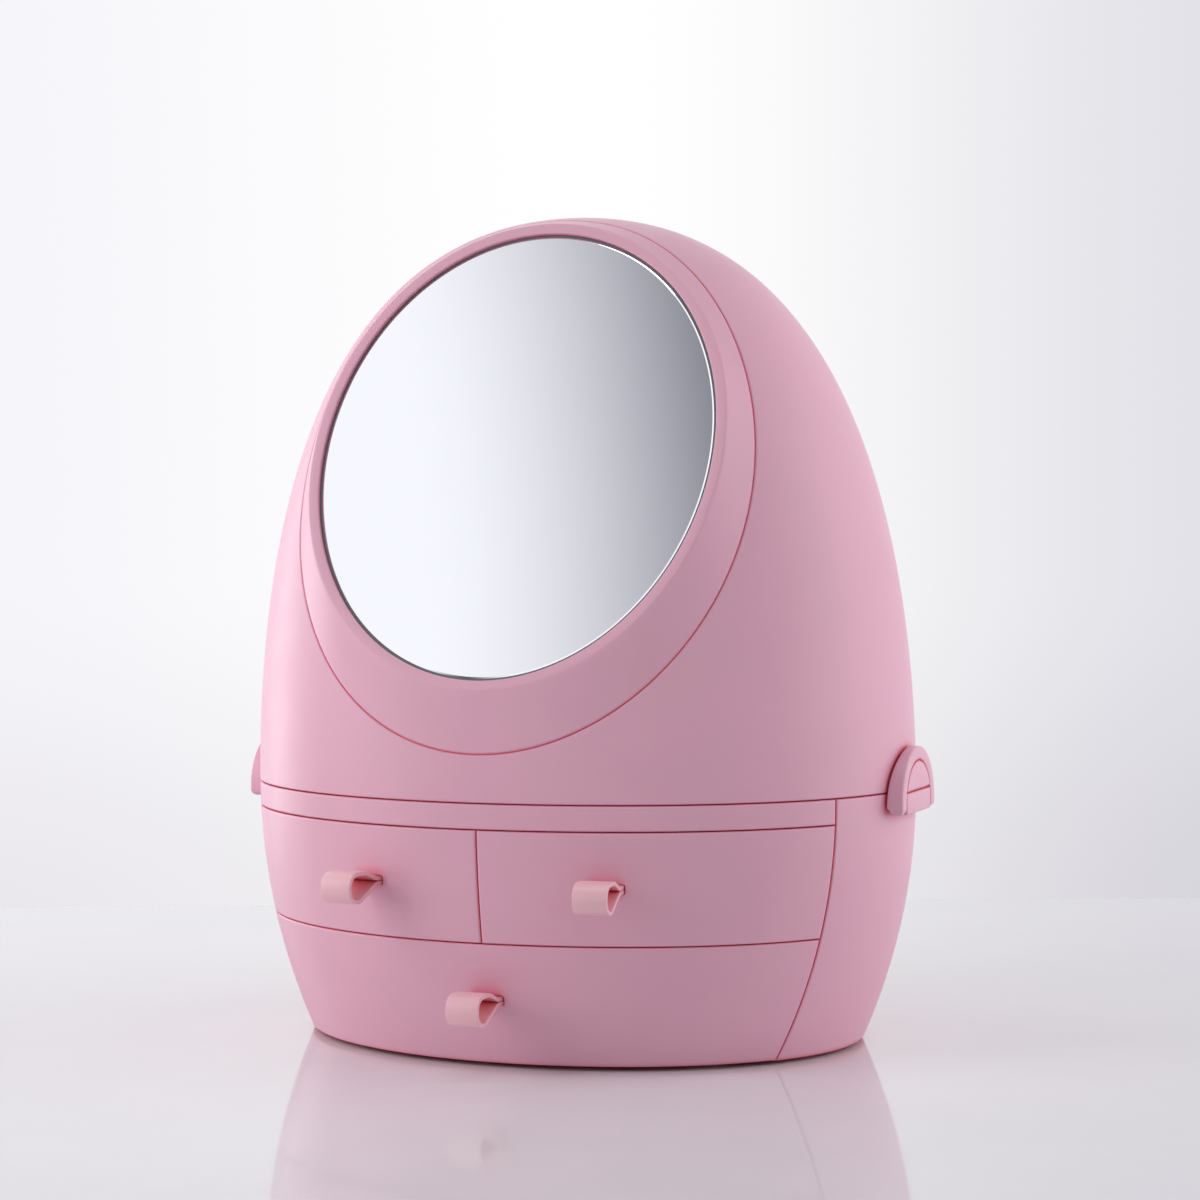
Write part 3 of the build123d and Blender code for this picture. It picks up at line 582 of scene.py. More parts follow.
# %% Dome skin
outer_rows = 90
inner_rows = 40
coarse = dome_band(0.0, [np.full(around, share) for share in np.linspace(0, 1, inner_rows)])
band_length = np.linalg.norm(np.diff(coarse, axis=0), axis=2).sum(axis=0)
near_groove = [step * edge_radius / band_length for step in edge_steps]
near_seam = [1 - share for share in reversed(near_groove)]
between = near_seam[0] - near_groove[-1]
middle_rows = [near_groove[-1] + between * share for share in np.linspace(0, 1, outer_rows)[1:-1]]
dome_shares = near_groove + middle_rows + near_seam
dome_outer = dome_band(0.0, dome_shares)
dome_normals = grid_normals(dome_outer, closed=True)
test_row = outer_rows // 2
outwards = np.sum(dome_normals[test_row] * (dome_outer[test_row] - mirror_centre), axis=-1).mean()
dome_normals *= np.sign(outwards)
distance = np.stack([share * band_length for share in dome_shares])
drop = np.maximum(edge_drop(distance, edge_radius), edge_drop(band_length - distance, edge_radius))
dome_outer = dome_outer - dome_normals * drop[..., None]
dome_inner = dome_band(wall, [np.full(around, share) for share in np.linspace(1, 0, inner_rows)])
dome_skin = ring_faces(np.concatenate([dome_outer, dome_inner]))
print("dome rows:", len(dome_outer) + len(dome_inner))

# %% [markdown]
# The rear of the dome has a round hole for the button and a slot for the charging socket. Rows of the band could be
# laid round them, but they are small and plain, so a Boolean cuts them straight through. Behind its rim the dome
# carries a collar with a seat for the mirror ring, and at the rear the middle barrel of the hinge. They are moulded
# in one piece with the shell, so they are joined to it.

# %% Round forms
def circle_loop(centre, radius, axis, at, sides=48):
    """A circle across an axis (0, 1 or 2) at a place along it; centre gives the other two coordinates in order."""
    angle = np.linspace(0, 2 * np.pi, sides, endpoint=False)
    columns = [centre[0] + radius * np.cos(angle), centre[1] + radius * np.sin(angle)]
    columns.insert(axis, np.full(sides, at))
    return np.stack(columns, axis=-1)


def turned(centre, axis, profile, sides=48):
    """A closed turned solid from its places along an axis and its radii there."""
    return stack_faces([circle_loop(centre, radius, axis, at, sides) for at, radius in profile])


def barrel(x0, x1, radius, bore, edge=0.5 * MM):
    """A hinge barrel along X with a bore and rounded ends."""
    profile = [(x0, bore), (x0, radius - edge), (x0 + 0.3 * edge, radius - 0.3 * edge), (x0 + edge, radius)]
    profile += [(x1 - edge, radius), (x1 - 0.3 * edge, radius - 0.3 * edge), (x1, radius - edge), (x1, bore)]
    return ring_faces([circle_loop((hinge_y, seam), r, 0, x) for x, r in profile])


# %% Holes at the rear
loose_fit = 0.1 * MM
socket_corner = 0.8 * MM
button_low, button_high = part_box("power_button")
button_centre = ((button_low.x + button_high.x) / 2, (button_low.z + button_high.z) / 2)
button_radius = 4.0 * MM
socket_low, socket_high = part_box("charge_socket")
rear_reach = 4 * wall
rear_holes = join_parts([
    turned(button_centre, 1, [(button_high.y - rear_reach, button_radius + loose_fit),
                              (button_high.y + rear_reach, button_radius + loose_fit)]),
    rounded_box(
        (socket_low.x - loose_fit, socket_high.y - rear_reach, socket_low.z - loose_fit),
        (socket_high.x + loose_fit, socket_high.y + rear_reach, socket_high.z + loose_fit),
        socket_corner,
    ),
])
dome_parts = [carve(dome_skin, rear_holes)]
print("dome faces with its holes:", len(dome_parts[0][1]))

# %% Collar, seat and hinge barrel
collar_wall = 2.5 * MM
collar_half = ring_half + collar_wall
seat_half = ring_half - (ring_half[0] - cavity_half[0] + collar_wall)
dome_parts.append(ring_faces([
    oval(collar_half, ring_drop, seat_level - seat_thickness),
    oval(collar_half, ring_drop, oval_level(collar_half, ring_drop, wall / 2)),
    oval(ring_half, ring_drop, oval_level(ring_half, ring_drop, wall / 2)),
    oval(ring_half, ring_drop, seat_level),
    oval(seat_half, ring_drop, seat_level),
    oval(seat_half, ring_drop, seat_level - seat_thickness),
]))

barrel_radius = 5.0 * MM
pin_bore = 2.05 * MM
hinge_web = 7.0 * MM
lid_barrel_half = 19.7 * MM
web_front = plan_y + half_depth - wall
dome_parts.append(barrel(-lid_barrel_half, lid_barrel_half, barrel_radius, pin_bore))
dome_parts.append(rounded_box(
    (-lid_barrel_half, web_front, dome_bottom),
    (lid_barrel_half, hinge_y - pin_bore, dome_bottom + hinge_web),
    edge_radius,
))
finish_piece("dome_shell_finished", join_parts(dome_parts), "body", "dome", "dome_shell")

# %% [markdown]
# ## The mirror ring
# The ring frames the glass and hides its edge. It starts flush with the dome at the groove, rises to a flat lip and
# drops to the glass. It could be one section swept along the oval, but the dome curves and the glass doesn't, so
# the section changes all the way round. Here the band runs straight from each point of the groove to the lip.

# %% Mirror ring
ring_outer_half = ring_half - ring_groove
ring_foot = oval(ring_outer_half, ring_drop, oval_level(ring_outer_half, ring_drop))
lip_edge = oval(lip_half, 0.0, lip_rise)
band_run = np.linalg.norm(ring_foot - lip_edge, axis=-1)
lip_radius = 0.5 * MM
groove_depth = 1.0 * MM
ring_loops = [oval(opening_half, 0.0, cavity_level)]
for step in edge_steps[:5]:
    level = lip_rise - edge_drop(step * lip_radius, lip_radius)
    ring_loops.append(oval(opening_half + step * lip_radius, 0.0, level))
for inset, fall in ((0.6 * MM, 0.0), (0.2 * MM, 0.02 * MM)):
    ring_loops.append(oval(lip_half - inset, 0.0, lip_rise - fall))
ring_sink = np.array([0, math.cos(mirror_tilt), -math.sin(mirror_tilt)])
band = ring_foot - lip_edge
rounding_start = 1 - edge_steps[-1] * edge_radius / band_run
for portion in np.linspace(0.03, 1, 14)[:-1]:
    ring_loops.append(lip_edge + band * (portion * rounding_start)[:, None])
for step in edge_steps[::-1]:
    share = 1 - step * edge_radius / band_run
    sink = edge_drop(step * edge_radius, edge_radius)
    ring_loops.append(lip_edge + band * share[:, None] + ring_sink * sink)
groove_floor = oval_level(ring_outer_half, ring_drop) - groove_depth
ring_skirt_half = ring_half - loose_fit
ring_loops += [
    oval(ring_outer_half, ring_drop, groove_floor),
    oval(ring_skirt_half, ring_drop, groove_floor),
    oval(ring_skirt_half, ring_drop, seat_level),
    oval(cavity_half, cavity_drop, seat_level),
    oval(cavity_half, cavity_drop, cavity_level),
]
finish_piece("mirror_ring_finished", ring_faces(ring_loops), "ring", "dome", "mirror_bezel")

# %% [markdown]
# ## The glass
# The mirror is a flat oval of glass with a narrow, shallow bevel. It could be a plain cap in the ring, but a cut edge
# is what tells glass from paint. Smooth shading across the bevel would bend what the face shows, so even its
# shallow edge is marked sharp.

# %% Mirror glass
glass_play = 1.3 * MM
glass_half = opening_half - glass_play
glass_face = -1.0 * MM
glass_back = -4.0 * MM
bevel_width = 0.6 * MM
bevel_drop = 0.18 * MM
glass_loops = [
    oval(glass_half, 0.0, glass_back),
    oval(glass_half, 0.0, glass_face - bevel_drop),
    oval(glass_half - bevel_width, 0.0, glass_face),
]
bevel_crease = math.radians(5)
finish_piece(
    "mirror_glass_finished", stack_faces(glass_loops), "mirror", "dome", "mirror_glass", bevel_crease)

# %% [markdown]
# ## The drawer pulls
# Each pull is a flat silicone strap, folded into a drop-shaped loop, with both ends through a slot in the drawer
# front and moulded to a bar behind it. Cloth could be folded into such a loop, but the strap is moulded to its shape
# and all three are alike. It follows a path, so Geometry Nodes make it: a poly line of a few corners, a Fillet
# Curve that rounds each corner by its own radius, and a rounded profile carried along. The path is drawn flat, out
# of the front along X and up along Y, and each copy is then turned into its drawer.

# %% Strap tree
def add_socket(tree, name, kind, way="INPUT"):
    return tree.interface.new_socket(name=name, in_out=way, socket_type=kind)


def strap_tree():
    """A rounded flat strap along a poly line, whose points carry their fillet radius."""
    tree = bpy.data.node_groups.new("folded_strap", "GeometryNodeTree")
    add_socket(tree, "Geometry", "NodeSocketGeometry")
    for name in ("Width", "Thickness", "Edge"):
        add_socket(tree, name, "NodeSocketFloat")
    add_socket(tree, "Finish", "NodeSocketMaterial")
    add_socket(tree, "Geometry", "NodeSocketGeometry", "OUTPUT")
    start = tree.nodes.new("NodeGroupInput")
    end = tree.nodes.new("NodeGroupOutput")
    bend = add_node(tree, "GeometryNodeFilletCurve", mode="POLY", Count=12, Limit_Radius=True)
    corner = add_node(tree, "GeometryNodeInputRadius")
    even = add_node(tree, "GeometryNodeSetCurveRadius", Radius=1.0)
    upright = add_node(tree, "GeometryNodeSetCurveNormal", mode="Z_UP")
    outline = add_node(tree, "GeometryNodeCurvePrimitiveQuadrilateral")
    soft_outline = add_node(tree, "GeometryNodeFilletCurve", mode="POLY", Count=5, Limit_Radius=True)
    strap = add_node(tree, "GeometryNodeCurveToMesh", Fill_Caps=True)
    realise = add_node(tree, "GeometryNodeRealizeInstances")
    finish = add_node(tree, "GeometryNodeSetMaterial")
    tree.links.new(start.outputs["Geometry"], bend.inputs["Curve"])
    tree.links.new(corner.outputs["Radius"], bend.inputs["Radius"])
    tree.links.new(bend.outputs["Curve"], even.inputs["Curve"])
    tree.links.new(even.outputs["Curve"], upright.inputs["Curve"])
    tree.links.new(upright.outputs["Curve"], strap.inputs["Curve"])
    tree.links.new(start.outputs["Thickness"], outline.inputs["Width"])
    tree.links.new(start.outputs["Width"], outline.inputs["Height"])
    tree.links.new(outline.outputs["Curve"], soft_outline.inputs["Curve"])
    tree.links.new(start.outputs["Edge"], soft_outline.inputs["Radius"])
    tree.links.new(soft_outline.outputs["Curve"], strap.inputs["Profile Curve"])
    tree.links.new(strap.outputs["Mesh"], realise.inputs["Geometry"])
    tree.links.new(realise.outputs["Geometry"], finish.inputs["Geometry"])
    tree.links.new(start.outputs["Finish"], finish.inputs["Material"])
    tree.links.new(finish.outputs["Geometry"], end.inputs["Geometry"])
    return tree


# %% Result of a tree
def run_tree(tree, source, **inputs):
    """Points and faces of what a tree makes from a mesh or a curve."""
    holder = bpy.data.objects.new(tree.name, source)
    bpy.context.scene.collection.objects.link(holder)
    modifier = holder.modifiers.new(tree.name, "NODES")
    modifier.node_group = tree
    for socket in tree.interface.items_tree:
        if socket.in_out == "INPUT" and socket.name in inputs:
            modifier[socket.identifier] = inputs[socket.name]
    depsgraph = bpy.context.evaluated_depsgraph_get()
    result = bpy.data.meshes.new_from_object(holder.evaluated_get(depsgraph))
    bpy.data.objects.remove(holder)
    return mesh_parts(result)


# %% Sizes of the strap
pull_width = 14.5 * MM
pull_thickness = 1.8 * MM
pull_reach = 25.0 * MM
pull_crest = 5.2 * MM
pull_drop = 8.0 * MM
pull_neck = 4.0 * MM
pull_arch_start = 12.0 * MM
pull_heel = 16.5 * MM
pull_edge = 0.4 * MM
bar_front = -5.6 * MM
bar_back = -7.6 * MM
bar_half = (3.5 * MM, 9.5 * MM)
bar_edge = 0.6 * MM

ply = pull_thickness / 2 + loose_fit / 2
strap_top = pull_crest - pull_thickness / 2
strap_tip = pull_reach - pull_thickness / 2
strap_low = pull_thickness / 2 - pull_drop
strap_end = (bar_front + bar_back) / 2
nose = 0.48 * (strap_top - strap_low)
neck_bend = 1.6 * pull_neck
strap_corners = [
    (strap_end, ply, 0),
    (pull_neck, ply, neck_bend),
    (pull_arch_start, strap_top, 2 * nose),
    (strap_tip, strap_top, nose),
    (strap_tip, strap_low, nose),
    (pull_heel, strap_low, nose),
    (pull_neck, -ply, neck_bend),
    (strap_end, -ply, 0),
]
print("strap corners:", len(strap_corners))

# %% Strap and its bar
def poly_path(name, corners):
    """A flat poly line whose points carry a fillet radius."""
    path = bpy.data.curves.new(name, "CURVE")
    path.dimensions = "3D"
    spline = path.splines.new("POLY")
    spline.points.add(len(corners) - 1)
    for point, (x, y, radius) in zip(spline.points, corners):
        point.co = (x, y, 0, 1)
        point.radius = radius
    return path


strap = run_tree(
    strap_tree(), poly_path("strap_path", strap_corners),
    Width=pull_width, Thickness=pull_thickness, Edge=pull_edge, Finish=finishes["pull"])
bar = rounded_box((bar_back, -bar_half[0], -bar_half[1]), (bar_front, *bar_half), bar_edge)
pull_parts = join_parts([strap, bar])
print("strap faces:", len(strap[1]))

# %% Pulls in their drawers
upper_pull_x = 53.8 * MM
upper_pull_turn = math.radians(7)
pull_places = {
    "left": (-upper_pull_x, -upper_pull_turn),
    "right": (upper_pull_x, upper_pull_turn),
    "lower": (0.0, 0.0),
}


def pull_frame(drawer):
    """A pull's frame: its X out of the drawer front, its Y up."""
    x, turn = pull_places[drawer]
    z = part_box(f"drawer_{drawer}_pull")[0].z + pull_drop
    place = base_point(turn_at_x(x, z), np.array(z))
    out = Vector((math.sin(turn), -math.cos(turn), 0))
    up = Vector((0, 0, 1))
    return Matrix.Translation(Vector(place)) @ Matrix((out, up, out.cross(up))).transposed().to_4x4()


def move_parts(parts, matrix):
    """Points moved by a matrix, with their faces."""
    points, faces = parts
    moved = points @ np.array(matrix.to_3x3()).T + np.array(matrix.translation)
    return moved, faces


for drawer in pull_places:
    name = f"drawer_{drawer}_pull"
    placed = move_parts(pull_parts, pull_frame(drawer))
    finish_piece(f"{name}_strap", placed, "pull", f"drawer_{drawer}", name)

# %% [markdown]
# ## The drawer fronts and the rail
# The base's wall, the rail and the drawer fronts are panels of one skin. They could be cut from one shell by
# Booleans, but their edges would stay sharp. So each is a grid between two turns and two heights, with its edges
# rounded over and a wall behind, and the fine lines between them come from real gaps. Only the slot for each pull
# is cut by a Boolean.

# %% Panels of the base's skin
skin_flattening = 0.8


def skin_panel(first_turn, last_turn, low, high, columns, rows, thickness=wall):
    """A moulded panel of the base's skin between two turns (functions of height) and two heights."""
    height = high - low
    middle = (low + high) / 2
    length = (last_turn(middle) - first_turn(middle)) * half_width * skin_flattening
    ends = edge_steps * edge_radius
    u, v = (
        np.sort(np.concatenate([ends / size, np.linspace(0, 1, count + 2)[1:-1], 1 - ends / size]))
        for size, count in ((length, columns), (height, rows))
    )
    z = (low + height * v)[:, None] + 0 * u[None, :]
    turn = first_turn(z) + (last_turn(z) - first_turn(z)) * u[None, :]
    outer = base_point(turn, z)
    normal = grid_normals(outer, closed=False)
    sink = np.maximum(
        edge_drop(np.minimum(u, 1 - u) * length, edge_radius)[None, :],
        edge_drop(np.minimum(v, 1 - v) * height, edge_radius)[:, None],
    )
    return slab_faces(outer - normal * sink[..., None], base_point(turn, z, thickness))


# %% Edges of the drawer fronts
front_edge_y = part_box("drawer_lower_front")[1].y
side_edge_y = front_edge_y + part_gap


def left_front(z):
    return -turn_at_y(front_edge_y, z)


def right_front(z):
    return turn_at_y(front_edge_y, z)


def left_of_split(z):
    return turn_at_x(-part_gap / 2, z)


def right_of_split(z):
    return turn_at_x(part_gap / 2, z)


# %% Drawer fronts
slot_half_height = 2.15 * MM
slot_half_width = 7.75 * MM
slot_corner = 0.9 * MM
front_rows = 14
slot_cutter = rounded_box(
    (-3 * wall, -slot_half_height, -slot_half_width), (3 * wall, slot_half_height, slot_half_width), slot_corner)
front_ranges = {
    "left": (left_front, left_of_split, 60),
    "right": (right_of_split, right_front, 60),
    "lower": (left_front, right_front, 120),
}
for drawer, (first, last, columns) in front_ranges.items():
    name = f"drawer_{drawer}_front"
    low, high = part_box(name)
    panel = skin_panel(first, last, low.z, high.z, columns, front_rows)
    front = carve(panel, move_parts(slot_cutter, pull_frame(drawer)))
    finish_piece(f"{name}_finished", front, "body", f"drawer_{drawer}", name)

# %% [markdown]
# ## The trays
# Behind each front is an open tray with straight sides and a front wall that follows the curve. An open box with a
# Solidify modifier would be quicker, but its rim would stay square. So a tray is a stack of outlines: up the
# outside, over the rounded rim, down the inside and out over the floor. A window behind the pull leaves room for
# its bar.

# %% Outline of a tray
tray_wall = 2.0 * MM
tray_floor = 2.0 * MM
tray_skin = wall + seat_clearance
tray_corner = 5.0 * MM


def tray_outline(x0, x1, back, z, inset):
    """A tray's outline at a height, drawn in from its outside by inset."""
    left, right, rear = x0 + inset, x1 - inset, back - inset
    corner = tray_corner - inset / 2
    quarter = np.linspace(0, math.pi / 2, 8)
    skin = tray_skin + inset
    radius = base_half_width(z) - skin
    ratio = (half_depth - skin) / (half_width - skin)
    front_x = np.linspace(left, right, 70)
    front = np.stack([front_x, plan_y - ratio * np.sqrt(radius**2 - front_x**2)], axis=-1)
    side_rows = np.linspace(0, 1, 6)[1:-1, None]
    cosine, sine = corner * np.cos(quarter), corner * np.sin(quarter)
    right_corner = np.stack([right - corner + cosine, rear - corner + sine], axis=-1)
    left_corner = np.stack([left + corner - sine, rear - corner + cosine], axis=-1)
    right_side = front[-1] + (right_corner[0] - front[-1]) * side_rows
    left_side = left_corner[-1] + (front[0] - left_corner[-1]) * side_rows
    flat = np.concatenate([front, right_side, right_corner, left_corner, left_side])
    return np.column_stack([flat, np.full(len(flat), z)])


# %% Drawer trays
tray_rim = 0.8 * MM
tray_heel = 2.5 * MM


def tray_parts(low, high):
    """An open tray between two corners of its box."""
    rim, heel = tray_rim, tray_heel
    floor = low.z + tray_floor
    rows = [(low.z, rim), (low.z + 0.3 * rim, 0.3 * rim), (low.z + rim, 0.0)]
    rows += [(z, 0.0) for z in np.linspace(low.z + rim, high.z - rim, 6)[1:]]
    rows += [(high.z - 0.3 * rim, 0.3 * rim), (high.z, rim), (high.z, tray_wall - rim)]
    rows += [(high.z - 0.3 * rim, tray_wall - 0.3 * rim), (high.z - rim, tray_wall)]
    rows += [(z, tray_wall) for z in np.linspace(high.z - rim, floor + heel, 6)[1:]]
    for turn in np.linspace(0, math.pi / 2, 6)[1:]:
        rows.append((floor + heel * (1 - math.sin(turn)), tray_wall + heel * (1 - math.cos(turn))))
    return stack_faces([tray_outline(low.x, high.x, high.y, z, inset) for z, inset in rows])


window_half = (4.0 * MM, 10.0 * MM)
window_depth = 17.0 * MM
window_corner = 1.0 * MM
window_cutter = rounded_box((-window_depth, -window_half[0], -window_half[1]), (0, *window_half), window_corner)
for drawer in front_ranges:
    name = f"drawer_{drawer}_box"
    tray = carve(tray_parts(*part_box(name)), move_parts(window_cutter, pull_frame(drawer)))
    finish_piece(f"{name}_finished", tray, "tray", f"drawer_{drawer}", name)

# %% [markdown]
# ## The base
# The base is the lower shell, which holds the drawers. Its wall runs round the sides and the rear. Inside it are the
# floor, two ledges that carry the shelf and the deck, and the guides of the lower drawer. Outside it are the lower
# halves of the latches and the outer barrels of the hinge. A Boolean union could fuse them, but closed forms that
# overlap look the same, and each keeps its clean rounding.

# %% Plates and ledges
def right_side_edge(z):
    return turn_at_y(side_edge_y, z)


def round_to_left(z):
    return 2 * math.pi - turn_at_y(side_edge_y, z)


def plate(z0, z1, front_inset, rear_inset, edge=0.4 * MM, sides=240):
    """A flat plate with the egg's outline, drawn in by one inset behind the fronts and by another elsewhere."""
    turn = np.linspace(-math.pi, math.pi, sides, endpoint=False)
    loops = []
    for z, inward in ((z0, edge), (z0 + edge, 0.0), (z1 - edge, 0.0), (z1, edge)):
        level = np.full(sides, z1)
        at_front = np.abs(turn) < right_front(z1)
        inset = np.where(at_front, front_inset, rear_inset) + inward
        loop = base_point(turn, level, inset)
        loop[:, 2] = z
        loops.append(loop)
    return stack_faces(loops)


def ledge(top, width=6.0 * MM, height=3.0 * MM, columns=160):
    """A ledge inside the base's wall."""
    turn = np.linspace(float(right_side_edge(top)), float(round_to_left(top)), columns)
    outer, inner = (
        np.stack([base_point(turn, np.full(columns, z), inset) for z in (top - height, top)])
        for inset in (wall / 2, wall + width)
    )
    return slab_faces(outer, inner)


# %% Base wall, floor and ledges
floor_thickness = 2.5 * MM
deck_depth = 5.0 * MM
floor_top = base_bottom + floor_thickness
deck_bottom = base_top - deck_depth
shelf_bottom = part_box("drawer_shelf")[0].z
base_parts = [
    skin_panel(right_side_edge, round_to_left, base_bottom, base_top, 180, 30),
    plate(base_bottom, floor_top, wall + part_gap, wall / 2),
    ledge(deck_bottom),
    ledge(shelf_bottom),
]
print("base parts:", len(base_parts))

# %% Sizes of guides, bosses and barrels
tray_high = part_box("drawer_lower_box")[1]
guide_play = 0.4 * MM
guide_thickness = 2.0 * MM
guide_height = 6.0 * MM
guide_sink = 0.5 * MM
guide_inner = tray_high.x + guide_play
guide_low = (front_edge_y + wall, floor_top - guide_sink)
guide_high = (tray_high.y, floor_top + guide_height)
guide_edge = 0.5 * MM
latch_low, latch_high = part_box("latch_right_clip")
latch_outer_x = latch_high.x
latch_bottom = latch_low.z
latch_half = (latch_high.y - latch_low.y) / 2
latch_band = 6.0 * MM
latch_gap = 0.5 * MM
boss_half = latch_half - latch_band - latch_gap
boss_edge = 0.7 * MM
base_barrel_start = 20.1 * MM
base_barrel_end = 44.0 * MM
print(f"boss {2 * boss_half:.4f} wide, guides {guide_thickness:.4f} thick")

# %% Guides, latch bosses and hinge barrels
for side in (-1, 1):
    guide = sorted((side * guide_inner, side * (guide_inner + guide_thickness)))
    base_parts.append(rounded_box((guide[0], *guide_low), (guide[1], *guide_high), guide_edge))
    boss = sorted((side * (half_width - wall), side * latch_outer_x))
    base_parts.append(rounded_box(
        (boss[0], plan_y - boss_half, latch_bottom), (boss[1], plan_y + boss_half, seam - latch_gap), boss_edge))
    lug = sorted((side * base_barrel_start, side * base_barrel_end))
    base_parts.append(barrel(*lug, barrel_radius, pin_bore))
    base_parts.append(rounded_box(
        (lug[0], web_front, base_top - hinge_web), (lug[1], hinge_y - pin_bore, base_top), edge_radius))
finish_piece("base_shell_finished", join_parts(base_parts), "body", "base", "base_shell")

# %% [markdown]
# ## The deck
# The deck is the floor under the dome. Its front edge is the rail over the drawers, and a low rim inside the seam
# keeps the closed dome in line. The rail is a panel of the egg's skin like the drawer fronts, so that its lines run
# on into theirs. Round notches in the rim leave room for the screw heads; a Boolean cuts them, because they cross
# the rim's rounded top.

# %% Islands of a CAD node
def islands(node):
    """The points of each separate solid in a CAD node."""
    solid = bmesh.new()
    solid.from_mesh(nodes[node].data)
    bmesh.ops.remove_doubles(solid, verts=solid.verts, dist=merge_distance)
    left = set(solid.verts)
    groups = []
    while left:
        reached = [left.pop()]
        for vertex in reached:
            near = {edge.other_vert(vertex) for edge in vertex.link_edges} & left
            left -= near
            reached.extend(near)
        groups.append(np.array([vertex.co for vertex in reached]))
    solid.free()
    return groups


def middle_of(group):
    return (group.min(axis=0) + group.max(axis=0)) / 2


deck_screw_spots = [middle_of(group) for group in islands("deck_screws")]
print("deck screws:", len(deck_screw_spots))

# %% Rim of the deck
deck_thickness = 2.5 * MM
rim_sink = 1.0 * MM
deck_top = deck_bottom + deck_thickness
rail_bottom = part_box("drawer_left_front")[1].z + part_gap
rim_inset = wall + 2 * seat_clearance
rim_wall = 2.0 * MM
rim_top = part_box("top_deck")[1].z
rim_turn = np.linspace(-math.pi, math.pi, 240, endpoint=False)


def rim_loop(inset, z):
    loop = base_point(rim_turn, np.full(len(rim_turn), base_top), inset)
    loop[:, 2] = z
    return loop


rim_edge = 0.6 * MM
deck_rim = ring_faces([
    rim_loop(rim_inset, deck_top - rim_sink),
    rim_loop(rim_inset, rim_top - rim_edge),
    rim_loop(rim_inset + 0.3 * rim_edge, rim_top - 0.3 * rim_edge),
    rim_loop(rim_inset + rim_edge, rim_top),
    rim_loop(rim_inset + rim_wall - rim_edge, rim_top),
    rim_loop(rim_inset + rim_wall - 0.3 * rim_edge, rim_top - 0.3 * rim_edge),
    rim_loop(rim_inset + rim_wall, rim_top - rim_edge),
    rim_loop(rim_inset + rim_wall, deck_top - rim_sink),
])
print("rim faces:", len(deck_rim[1]))

# %% Top deck
head_radius = 2.85 * MM
notches = join_parts([
    turned((x, y), 2, [(deck_top, head_radius), (rim_top + wall, head_radius)], 32) for x, y, _ in deck_screw_spots
])
deck_parts = [
    skin_panel(left_front, right_front, rail_bottom, base_top, 120, 6),
    plate(deck_bottom, deck_top, wall / 2, wall + seat_clearance),
    carve(deck_rim, notches),
]
finish_piece("top_deck_finished", join_parts(deck_parts), "body", "base", "top_deck")

# %% [markdown]
# ## The latches
# A latch is a half-round clip on two legs that swings over the seam. A band runs up one leg, over the top and down
# the other; inside it, behind a fine groove, sits a flat pad. The back of the clip follows the egg at a small
# distance. It could be cut from a block and bevelled, but a bevel breaks where the arch meets the curved back. So
# the band is a section carried along its path and the pad a stack of outlines, both with well-rounded edges.

# %% Sizes of the latch
latch_pin = joints["latch_right_flip"]["pos_m"]
latch_end_radius = latch_outer_x - latch_pin[0]
latch_standoff = 1.3 * MM
latch_groove = 0.6 * MM
arch_z = latch_high.z - latch_half
pad_half = latch_half - latch_band - latch_groove / 2
pad_bottom = seam + latch_gap
latch_edge = 0.9 * MM
foot_taper = 2.6 * MM
foot_turns = np.radians([12, 30, 48, 66, 82])
no_limit = 1.0
print(f"latch {2 * latch_half:.4f} wide, its pad {2 * pad_half:.4f}")


def latch_back(y):
    """X of the clip's back, a small distance off the egg."""
    deep = half_depth + latch_standoff
    return (half_width + latch_standoff) * np.sqrt(1 - (y / deep) ** 2)


# %% Band of the latch
def latch_section(narrow):
    """Shares across the band and depths under its face, round its section; narrow draws the sides together."""
    turns = np.linspace(0, math.pi / 2, 6)
    inner = [(latch_edge * (1 - math.cos(turn)), latch_edge * (1 - math.sin(turn))) for turn in turns]
    width = latch_band - latch_groove / 2 - 2 * narrow
    outer = [(width - across, depth) for across, depth in reversed(inner)]
    return np.array([(across + narrow, depth) for across, depth in inner + outer])


def latch_station(y_sign, z, turn, narrow, half_depth_x):
    """One loop of the band: on a leg at a height, or on the arch at a turn."""
    section = latch_section(narrow)
    reach = latch_half - latch_band + latch_groove / 2 + section[:, 0]
    y = y_sign * reach if turn is None else reach * math.cos(turn)
    height = np.full(len(reach), z) if turn is None else arch_z + reach * math.sin(turn)
    face = np.minimum(latch_outer_x - section[:, 1], latch_pin[0] + half_depth_x)
    back_y = y[[-1, 0]]
    back = np.maximum(latch_back(back_y), latch_pin[0] - half_depth_x)
    x = np.concatenate([face, back])
    return np.column_stack([x, np.concatenate([y, back_y]), np.concatenate([height, height[[-1, 0]]])])


def latch_band_loops():
    """Loops from the foot of one leg over the arch to the foot of the other."""
    foot = []
    for turn in foot_turns:
        drop = latch_end_radius * math.cos(turn)
        half_here = latch_end_radius * math.sin(turn)
        narrow = foot_taper * (1 - math.sin(turn))
        foot.append((latch_pin[2] - drop, narrow, half_here))
    leg = foot + [(latch_pin[2], 0.0, no_limit)]
    loops = [latch_station(1, z, None, narrow, half) for z, narrow, half in leg]
    loops += [latch_station(0, 0, turn, 0.0, no_limit) for turn in np.linspace(0, math.pi, 61)]
    loops += [latch_station(-1, z, None, narrow, half) for z, narrow, half in reversed(leg)]
    return loops


